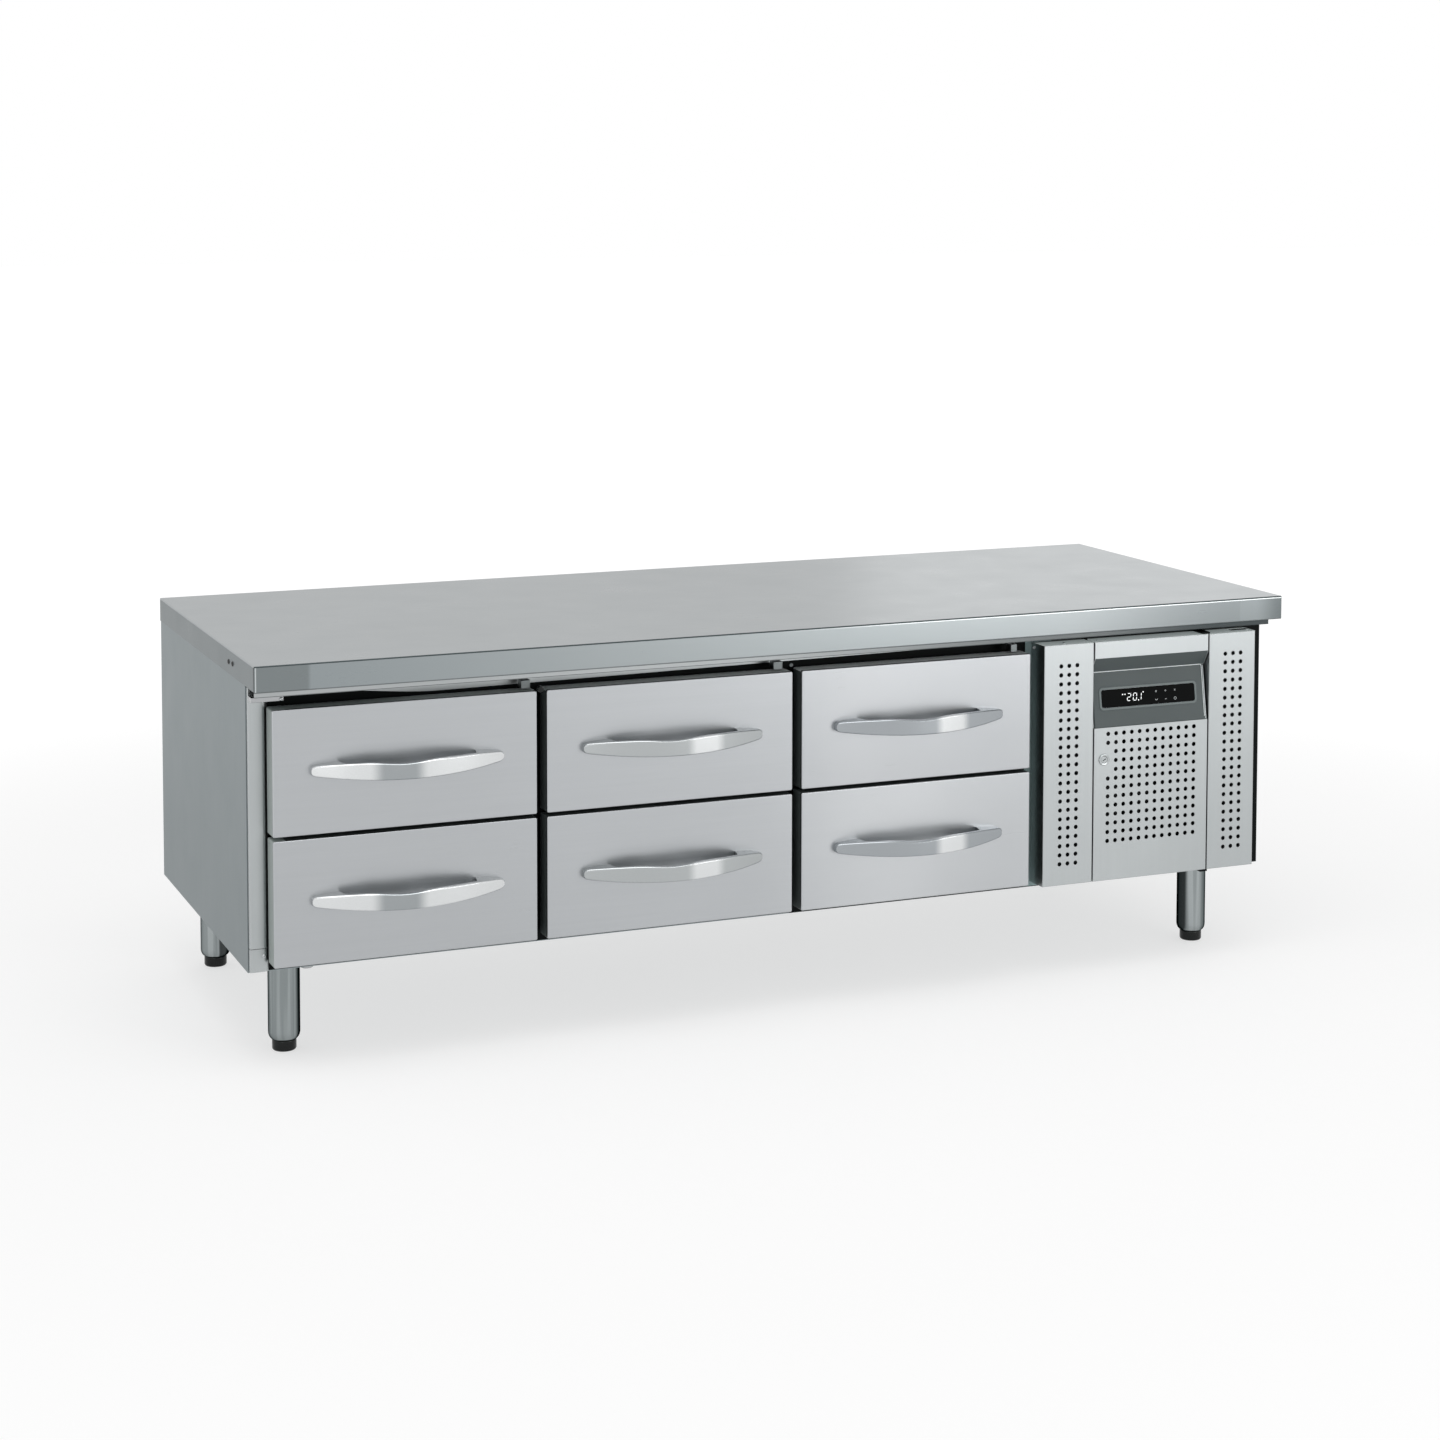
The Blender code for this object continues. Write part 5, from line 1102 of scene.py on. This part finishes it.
# %% Display window
window = leaned(window_block("display_window", 0.0, -0.0006, 0.0214, 0.004, 0.0005))
on_display = {"body": "service_panel", "slot": "display_black"}
dressed(window, display_glass, "display", **on_display)
print("window", len(window.data.polygons), "faces")

# %% [markdown]
# The lit bars glow, so their finish gives off light. A real display is a little uneven, brighter in
# the middle of each bar, which a fine noise stands for.

# %% Finishes of figures and marks
glow = Finish("display_glow", (0.6, 0.62, 0.62), 0.4, Emission_Strength=1.0)
ember = glow.noise((900.0, 900.0, 900.0), 1.0)
glow.feed("Emission Color", glow.blend(ember, (0.80, 0.84, 0.84), (1.0, 1.0, 1.0)))
faint = Finish("key_marks", (0.30, 0.32, 0.32), 0.5)
print_grain = faint.noise((700.0, 700.0, 700.0))
faint.feed("Base Color", faint.blend(print_grain, (0.34, 0.37, 0.37), (0.60, 0.63, 0.63)))
print("figures glow, marks are printed")

# %% [markdown]
# A figure says which of its seven bars are lit. A bar's place is given in halves of the digit's
# width and quarters of its height, and a 1 stands for an upright bar.

# %% Lit figures
DIGIT = (0.0064, 0.0120)
BARS = {"0": "abcdef", "1": "bc", "2": "abged"}
BAR_PLACES = {"a": (1, 4, 0), "b": (2, 3, 1), "c": (2, 1, 1), "d": (1, 0, 0)}
BAR_PLACES |= {"e": (0, 1, 1), "f": (0, 3, 1), "g": (1, 2, 0)}
SLANT = Matrix(((1, 0, 0.12, 0), (0, 1, 0, 0), (0, 0, 1, 0), (0, 0, 0, 1)))
LIT = -0.0008


def bar(x, z, length, wide, angle=0):
    """A flat bar with pointed ends, turned by degrees."""
    let_go()
    bpy.ops.mesh.primitive_circle_add(vertices=6, radius=length / 2, fill_type="NGON", rotation=FORWARD)
    piece = settled("bar")
    with editing(piece):
        pick_all()
        bpy.ops.transform.resize(value=(1, 1, wide / length * 1.1))
        bpy.ops.mesh.extrude_region_move(TRANSFORM_OT_translate={"value": (0, 0.0002, 0)})
    return moved(piece, (x, LIT, z), angle)


def figure(digit, left):
    """The lit bars of one digit, its lower left corner at the origin before it is slanted."""
    made = []
    for word in BARS[digit]:
        halves, quarters, upright = BAR_PLACES[word]
        length = DIGIT[1] / 2 if upright else DIGIT[0]
        x, z = halves * DIGIT[0] / 2, quarters * DIGIT[1] / 4
        made.append(bar(x, z, length * 0.92, 0.0012, 90 * upright))
        made[-1].data.transform(Matrix.Translation((left, 0, 0)) @ SLANT)
    return made


left_of_window = SHIFT - half_wide
lit = []
for digit, left in (("2", 0.0495), ("0", 0.0610), ("1", 0.0700)):
    lit += figure(digit, left)
for x, z in ((0.0715, 0.0), (0.0412, 0.0112), (0.0458, 0.0112), (0.0815, 0.0128)):
    lit.append(bar(x, z, 0.0023, 0.0021))
reading = moved(joined("display_reading", lit), (left_of_window, 0, -DROP - DIGIT[1] / 2))
dressed(leaned(reading), glow, **on_display)
print("lit bars", len(lit))

# %% [markdown]
# The keys' marks are printed: a star and two crosses above, and an arrowhead, a dash and a ring
# below. Each is a few thin bars, which is enough for marks that nobody reads from a distance.

# %% Key marks
COLUMNS = (0.1065, 0.1250, 0.1435)
UPPER, LOWER = 0.0062, -0.0080
RING = 0.0021
STROKE = 0.0011
marks = []
for x, angles in zip(COLUMNS, ((0, 60, 120), (0, 90), (45, 135))):
    marks += [bar(x, UPPER, 0.0044, STROKE, angle) for angle in angles]
marks.append(bar(COLUMNS[1], LOWER, 0.0044, STROKE))
for half_arrow in (-1, 1):
    x = COLUMNS[0] + half_arrow * 0.0014
    marks.append(bar(x, LOWER, 0.0036, STROKE, -40 * half_arrow))
for step in range(6):
    turn = math.radians(60 * step)
    x, z = COLUMNS[2] + RING * math.cos(turn), LOWER + RING * math.sin(turn)
    marks.append(bar(x, z, 0.0025, STROKE, 90 - 60 * step))
key_marks = moved(joined("key_marks", marks), (left_of_window, 0, -DROP))
dressed(leaned(key_marks), faint, **on_display)
print("key marks", len(marks))

# %% [markdown]
# ## The lock
# A cam lock like the one on a letter box: a chromed head fixed in the panel, a plug that turns in
# it, and a flat cam behind. Head and plug are turned on the lathe, and a key slot is cut in the plug.

# %% Lock
HEAD = [(0.0061, -0.0252), (0.0080, -0.0252), (0.0080, 0.0003), (0.0100, 0.0003), (0.0100, 0.0013)]
HEAD += [(0.0096, 0.0019), (0.0089, 0.0022), (0.0078, 0.0021), (0.0070, 0.0016), (0.0061, 0.0016)]
head = turned("lock_head", HEAD, 40, LOCK, FORWARD)
cut(head, turned("bore_tool", ((0.0061, -0.03), (0.0061, 0.01)), 40, LOCK, FORWARD))
dressed(smoothed(head), chrome, "lock_case", body="service_panel", slot="lock_chrome")
PLUG = ((0.0058, -0.0266), (0.0058, 0.0012), (0.0054, 0.0016))
plug_piece = turned("lock_plug", PLUG, 32, LOCK, FORWARD)
key_slot = block("slot_tool", (-0.0036, -0.0030, -0.0009), (0.0036, 0.0022, 0.0009))
cut(plug_piece, moved(key_slot, LOCK, -28))
low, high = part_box("lock_cam")
cam = block("cam", (low.x, high.y - 0.002, low.z), (high.x, high.y, LOCK.z + 0.007))
with editing(cam):
    bevel(lambda edge: runs(edge, "y"), 0.0045, 4)
lock_plug = joined("lock_plug_and_cam", [smoothed(plug_piece), smoothed(cam)])
dressed(lock_plug, chrome, "lock_cam", body="lock", slot="lock_chrome")
print("lock at", [round(part, 4) for part in LOCK])

# %% [markdown]
# ## Legs and feet
# The legs are drawn tubes, 50 mm wide, closed in at the lower end by a rolled shoulder. A square
# plate with four bolts holds each one, and a plastic foot screws in from below.

# %% Legs
TUBE = [(0.0083, 0.0183), (0.0196, 0.0183), (0.0212, 0.0192), (0.0228, 0.0212), (0.0241, 0.0240)]
TUBE += [(0.0248, 0.0270), (0.0250, 0.0305), (0.0250, 0.1420), (0.0262, 0.1445), (0.0290, 0.1462)]
TUBE.append((0.0290, 0.1470))
BOLT = ((0.0085, 0.0), (0.0085, -0.0014), (0.0064, -0.0015), (0.0064, -0.0062), (0.0056, -0.0068))
PLATE = 0.003
BOLT_REACH = 0.038
CORNERS = ("front_left", "front_right", "rear_left", "rear_right")
for corner in CORNERS:
    low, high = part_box(f"leg_{corner}")
    x, y = (low.x + high.x) / 2, (low.y + high.y) / 2
    tube = turned("tube", TUBE, 48, (x, y, 0))
    plate = block("plate", (low.x, low.y, high.z - PLATE), high)
    with editing(plate):
        bevel(lambda edge: runs(edge, "z"), 0.008, 4)
        bevel(lambda edge: at(edge, z=high.z - PLATE), 0.0006, 2)
    parts = [tube, smoothed(plate)]
    for side_x in (-BOLT_REACH, BOLT_REACH):
        for side_y in (-BOLT_REACH, BOLT_REACH):
            parts.append(turned("bolt", BOLT, 12, (x + side_x, y + side_y, high.z - PLATE)))
    leg = joined(f"round_leg_{corner}", parts)
    cut(leg, turned("stem_tool", ((0.0084, 0.0), (0.0084, 0.0735)), 24, (x, y, 0)))
    dressed(leg, leg_steel, f"leg_{corner}")
print("legs", len(CORNERS))

# %% [markdown]
# A domed bolt closes the underside near each corner. A smaller one hangs at the front right, where
# the photograph shows the end of a fitting.

# %% Domed bolts
DOME = ((0.0098, 0.0), (0.0098, -0.0026), (0.0088, -0.0038), (0.0060, -0.0046))
UNDERSIDE = Vector((pan_low.x, pan_low.y, casing_low.z))
domes = []
for x, y in ((0.0955, 0.078), (1.6995, 0.078), (0.0955, 0.690), (1.6995, 0.690)):
    domes.append(turned("dome", DOME, 24, UNDERSIDE + Vector((x, y, 0))))
domes.append(moved(turned("dome", DOME, 24), UNDERSIDE + Vector((1.7490, 0.0710, 0)), size=0.62))
dressed(joined("bottom_bolts", domes), inner_steel, slot="lock_chrome")
print("domed bolts", len(domes))

# %% [markdown]
# The foot is black plastic, rounded at its lower and its upper edge. Its stem carries a thread, made
# as a stack of small ridges, which is what a thread looks like from the side.

# %% Feet
FOOT = [(0.0150, 0.0000), (0.0172, 0.0006), (0.0184, 0.0018), (0.0190, 0.0036), (0.0190, 0.0150)]
FOOT += [(0.0186, 0.0168), (0.0176, 0.0178), (0.0080, 0.0180)]
for ridge in range(26):
    height = 0.0190 + 0.002 * ridge
    FOOT += [(0.0072, height), (0.0080, height + 0.001)]
FOOT.append((0.0072, 0.0729))
for corner in CORNERS:
    low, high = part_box(f"foot_{corner}")
    place = ((low.x + high.x) / 2, (low.y + high.y) / 2, 0)
    tag = f"levelling_foot_{corner}"
    foot = turned(tag, FOOT, 40, place)
    dressed(foot, foot_plastic, f"foot_{corner}", body=tag, slot="foot_plastic")
print("feet", len(CORNERS))

# %% [markdown]
# ## The left pillar
# Beside the left drawers the side panel is folded round to the front, with a wide soft fold on the
# drawers' side, so the pillar looks like half a tube. A short piece of its own closes the bottom,
# with a fine seam above it.

# %% Left pillar
CORNER = Vector((pan_low.x, pan_low.y, 0))
PILLAR_FRONT, PILLAR_BACK = CORNER.y + 0.0560, CORNER.y + 0.0657
PILLAR_LEFT, PILLAR_RIGHT = CORNER.x + 0.0030, CORNER.x + 0.0333
SEAM = 0.1880


def pillar_piece(name, bottom, top):
    """A part of the pillar between two heights."""
    piece = block(name, (PILLAR_LEFT, PILLAR_FRONT, bottom), (PILLAR_RIGHT, PILLAR_BACK, top))
    with editing(piece):
        for side, offset, segments in ((PILLAR_RIGHT, 0.0092, 10), (PILLAR_LEFT, 0.0008, 2)):
            bevel(
                lambda edge: runs(edge, "z") and at(edge, x=side, y=PILLAR_FRONT), offset, segments
            )
    dressed(smoothed(piece), frame_steel)


pillar_piece("left_pillar", SEAM + 0.0004, 0.5878)
pillar_piece("left_pillar_end", 0.1523, SEAM - 0.0004)
print("pillar", round(PILLAR_RIGHT - PILLAR_LEFT, 4), "m wide")

# %% [markdown]
# ## Screws and small fittings
# Small screws hold the strips, the back, the pillar and the worktop. One head is turned for all of
# them, with a cross cut into it, and copied to each place. Under the skirt's screws lie dark
# washers, which are the same head made larger.

# %% Screw heads
SCREW = ((0.0030, -0.0004), (0.0030, 0.0003), (0.0028, 0.0009), (0.0022, 0.0014), (0.0012, 0.0017))
screw_model = turned("screw_model", SCREW, 16)
cut(
    screw_model,
    block("cross_tool", (-0.0018, -0.00035, 0.0008), (0.0018, 0.00035, 0.003)),
    block("cross_tool", (-0.00035, -0.0018, 0.0008), (0.00035, 0.0018, 0.003)),
)
smoothed(screw_model)


def screws(name, places, turn, size=1.0, finish=zinc, body="cabinet"):
    """Screw heads at places, all turned the same way, as one piece."""
    turned_round = Matrix.Rotation(turn[0], 4, "X") @ Matrix.Rotation(turn[1], 4, "Y")
    made = []
    for place in places:
        head = copied(screw_model, "screw")
        spin = Matrix.Rotation(0.7 * len(made), 4, "Z")
        head.data.transform(Matrix.Translation(place) @ turned_round @ spin @ Matrix.Scale(size, 4))
        made.append(head)
    dressed(joined(name, made), finish, body=body, slot="lock_chrome")
    print(name, len(made))


def from_corner(*steps):
    """A place given from the worktop's front left corner, with its height over the floor."""
    return CORNER + Vector(steps)


print("screw head", len(screw_model.data.polygons), "faces")

# %% [markdown]
# Most places are measured from the worktop's front left corner. The strips' screws and the panel's
# rivets sit on the top flanges, and sixteen screws in two rows hold the back.

# %% Screws in place
low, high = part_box("grille_left")
right_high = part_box("grille_right")[1]
frame_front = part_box("front_frame")[0].y
UP, LEFTWARD, BACKWARD = (0, 0, 0), (0, -math.pi / 2, 0), (-math.pi / 2, 0, 0)
strip_tops = [
    ((low.x + high.x) / 2 - 0.004, FACE + 0.012, high.z),
    (right_high.x - 0.011, FACE + 0.015, right_high.z),
]
screws("strip_screws", strip_tops, UP, 0.9)
rivets = [(LEFT + x, FACE + 0.016, TOP) for x in (0.012, 0.029)]
screws("panel_rivets", rivets, UP, 0.5, body="service_panel")
frame_places = [(CORNER.x + x, frame_front, z) for x, z in ((0.8797, 0.5690), (1.3224, 0.5680))]
screws("frame_screws", frame_places, FORWARD, 1.1, tab_steel)
screws("bracket_screw", [from_corner(0.0490, 0.0336, 0.5722)], FORWARD)
screws("pillar_screw", [(CORNER.x + 0.0245, PILLAR_FRONT + 0.0004, 0.1760)], FORWARD, 1.1)
skirt_places = [(0.142, 0.6105), (0.169, 0.6095)]
screws("skirt_screws", [from_corner(0.0003, y, z) for y, z in skirt_places], LEFTWARD, 0.95)
washers = [from_corner(0.0007, y, z) for y, z in skirt_places]
screws("skirt_washers", washers, LEFTWARD, 1.45, black_paint)
low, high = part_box("outer_casing")
back_places = []
for step in range(8):
    x = low.x + 0.02 + (high.x - low.x - 0.04) * step / 7
    back_places += [(x, high.y, low.z + 0.012), (x, high.y, high.z - 0.012)]
screws("back_screws", back_places, BACKWARD)
discard(screw_model)

# %% [markdown]
# Under the worktop's left front corner sits a small folded bracket. Along the front hang three
# folded tabs, which keep the upper drawers from tipping when they are pulled right out, and beside
# the left one sits a round black stop. Bracket and tabs are little sheets: a block loses the sides
# that are open, its bends are rounded, and Solidify gives it a thickness.


# %% Bracket, tabs and stop
def fitting(name, low, high, finish, open_sides, flat_height, fold):
    """A little sheet, bent at its front face on every side but the one at the flat height."""
    piece = block(name, low, high)
    with editing(piece):
        pick("faces", lambda face: any(getattr(face.normal, axis) > 0.9 for axis in open_sides))
        bpy.ops.mesh.delete(type="FACE")
        bevel(lambda edge: at(edge, y=low.y) and not at(edge, z=flat_height), fold, 3)
    dressed(smoothed(as_sheet(piece, 0.0010)), finish)


low, high = from_corner(0.0035, 0.0340, 0.5690), from_corner(0.0530, 0.0555, 0.5764)
fitting("corner_bracket", low, high, inner_steel, "yz", high.z, 0.0010)
TABS = ((0.4270, 0.4420), (0.8540, 0.8700), (1.2855, 1.2970))
for number, (left, right_side) in enumerate(TABS, 1):
    low, high = from_corner(left, 0.0322, 0.5610), from_corner(right_side, 0.0480, 0.5735)
    fitting(f"rail_tab_{number}", low, high, tab_steel, "y", low.z, 0.0012)
STOP = ((0.0045, 0.0), (0.0052, 0.0006), (0.0052, 0.0060), (0.0046, 0.0072), (0.0030, 0.0078))
stop = turned("drawer_stop", STOP, 24, (CORNER.x + 0.4530, frame_front, 0.5610), FORWARD)
dressed(stop, foot_plastic, slot="foot_plastic")
print("tabs", len(TABS))

# %% [markdown]
# ## The solids that stay
# Casing, frame, rails, trays and seals are plain folded sheet, and the loaded solids already have
# their true shape. They keep it and get a finish that runs with their grain. What is not named below
# is the dark painted machinery.

# %% Finishes on the loaded solids
KEPT = {
    "top_rail": rail_steel,
    "outer_casing": casing_steel,
    "front_frame": frame_steel,
    "insulation": foam,
    "evaporator": fins,
    "refrigerant_pipe": copper,
}
inner = ["inner_liner", "machine_base", "evaporator_cover"]
inner += [f"slide_rack_{number}" for number in range(1, 5)] + [f"drawer_tray_{tag}" for tag in DRAWERS]
KEPT |= dict.fromkeys(inner, inner_steel)
KEPT |= {f"drawer_gasket_{tag}": gasket_rubber for tag in DRAWERS}
cooled = [f"{coil}{part}" for coil in ("evaporator", "condenser") for part in ("_fan", "_fan_motor")]
# Black paint on the condenser, as many condensers have; it also stands in for the shade behind the
# grille's holes.
KEPT |= dict.fromkeys(cooled + ["condenser", "compressor", "control_box"], black_paint)
for node, finish in KEPT.items():
    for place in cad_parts[node].material_slots:
        place.material = finish.material
print("loaded solids finished", len(KEPT))

# %% [markdown]
# ## Floor, light and background
# The photograph is cut out on white. A large pale floor and a white surround give the same, and the
# floor keeps a soft shadow so that the feet stand on something. Both look brighter to the camera and
# in mirrors than they shine on the counter, because a white room would light it flat. The kind of
# ray tells the two apart.


# %% Floor
def looked_at(tree):
    """1 on rays that are seen, straight or in a mirror or through glass, and 0 on lighting rays."""
    paths = tree.nodes.new("ShaderNodeLightPath").outputs
    seen, mirrored, through = (
        Wire(tree, paths[f"Is {kind} Ray"]) for kind in ("Camera", "Glossy", "Transmission")
    )
    return (seen + mirrored + through).over(0.5)


let_go()
bpy.ops.mesh.primitive_plane_add(size=60, location=(0, 0, 0))
floor = settled("floor")
paint = Finish("floor_paint", (0.86, 0.86, 0.86), 0.9, Emission_Strength=1.0)
seen = looked_at(paint.tree)
across = (paint.along("x") ** 2.0 + paint.along("y") ** 2.0) ** 0.5
far_off = paint.ramp(across, 1.3, 3.2)
tone = paint.blend(paint.noise((0.7, 0.7, 0.7), 2.0), (0.85, 0.85, 0.85), (0.88, 0.88, 0.88))
tone = paint.blend(seen, tone, (0.40, 0.40, 0.40))
paint.feed("Base Color", paint.blend(far_off * seen, tone, (0, 0, 0)))
paint.feed("Emission Color", paint.blend((0.63 + 0.37 * far_off) * seen, (0, 0, 0), (1, 1, 1)))
floor.data.materials.append(paint.material)
print("floor", floor.dimensions.x, "m wide")

# %% [markdown]
# The surround is one even white all round, and lights the counter at half its strength.

# %% Surround
world = bpy.data.worlds.new("surround")
bpy.context.scene.world = world
world.use_nodes = True
background = world.node_tree.nodes["Background"]
background.inputs["Color"].default_value = (1, 1, 1, 1)
strength = 0.50 + 0.50 * looked_at(world.node_tree)
plug(world.node_tree, strength, background.inputs["Strength"])
print("surround is white to the camera and half as strong as a light")

# %% [markdown]
# Steel shows what stands round it, so the lamps are large and soft. A wide one at the front right
# brightens the drawers from left to right, a smaller one lifts the front left, a faint one edges the
# far side, and the strongest hangs over the worktop.


# %% Lamps
def lamp(name, place, target, size, power):
    """A soft square lamp that points at a target."""
    light = bpy.data.lights.new(name, "AREA")
    light.shape = "RECTANGLE"
    light.size, light.size_y = size
    light.energy = power
    made = bpy.data.objects.new(name, light)
    aim = Vector(target) - Vector(place)
    made.rotation_euler = aim.to_track_quat("-Z", "Y").to_euler()
    made.location = place
    bpy.context.scene.collection.objects.link(made)


lamp("front_right_lamp", (2.2, -3.4, 0.75), (0.4, -0.3, 0.5), (1.8, 1.0), 18.5)
lamp("front_left_lamp", (-3.1, -4.0, 0.6), (-0.5, -0.3, 0.4), (1.2, 0.8), 8)
lamp("rear_right_lamp", (3.4, 3.9, 1.7), (0.5, 0, 0.6), (2.4, 1.0), 4)
lamp("upper_lamp", (-0.6, -1.2, 3.6), (0, 0, 0.3), (3.0, 2.0), 40)
bpy.context.scene.view_settings.view_transform = "Standard"
print("lamps", len(bpy.data.lights))
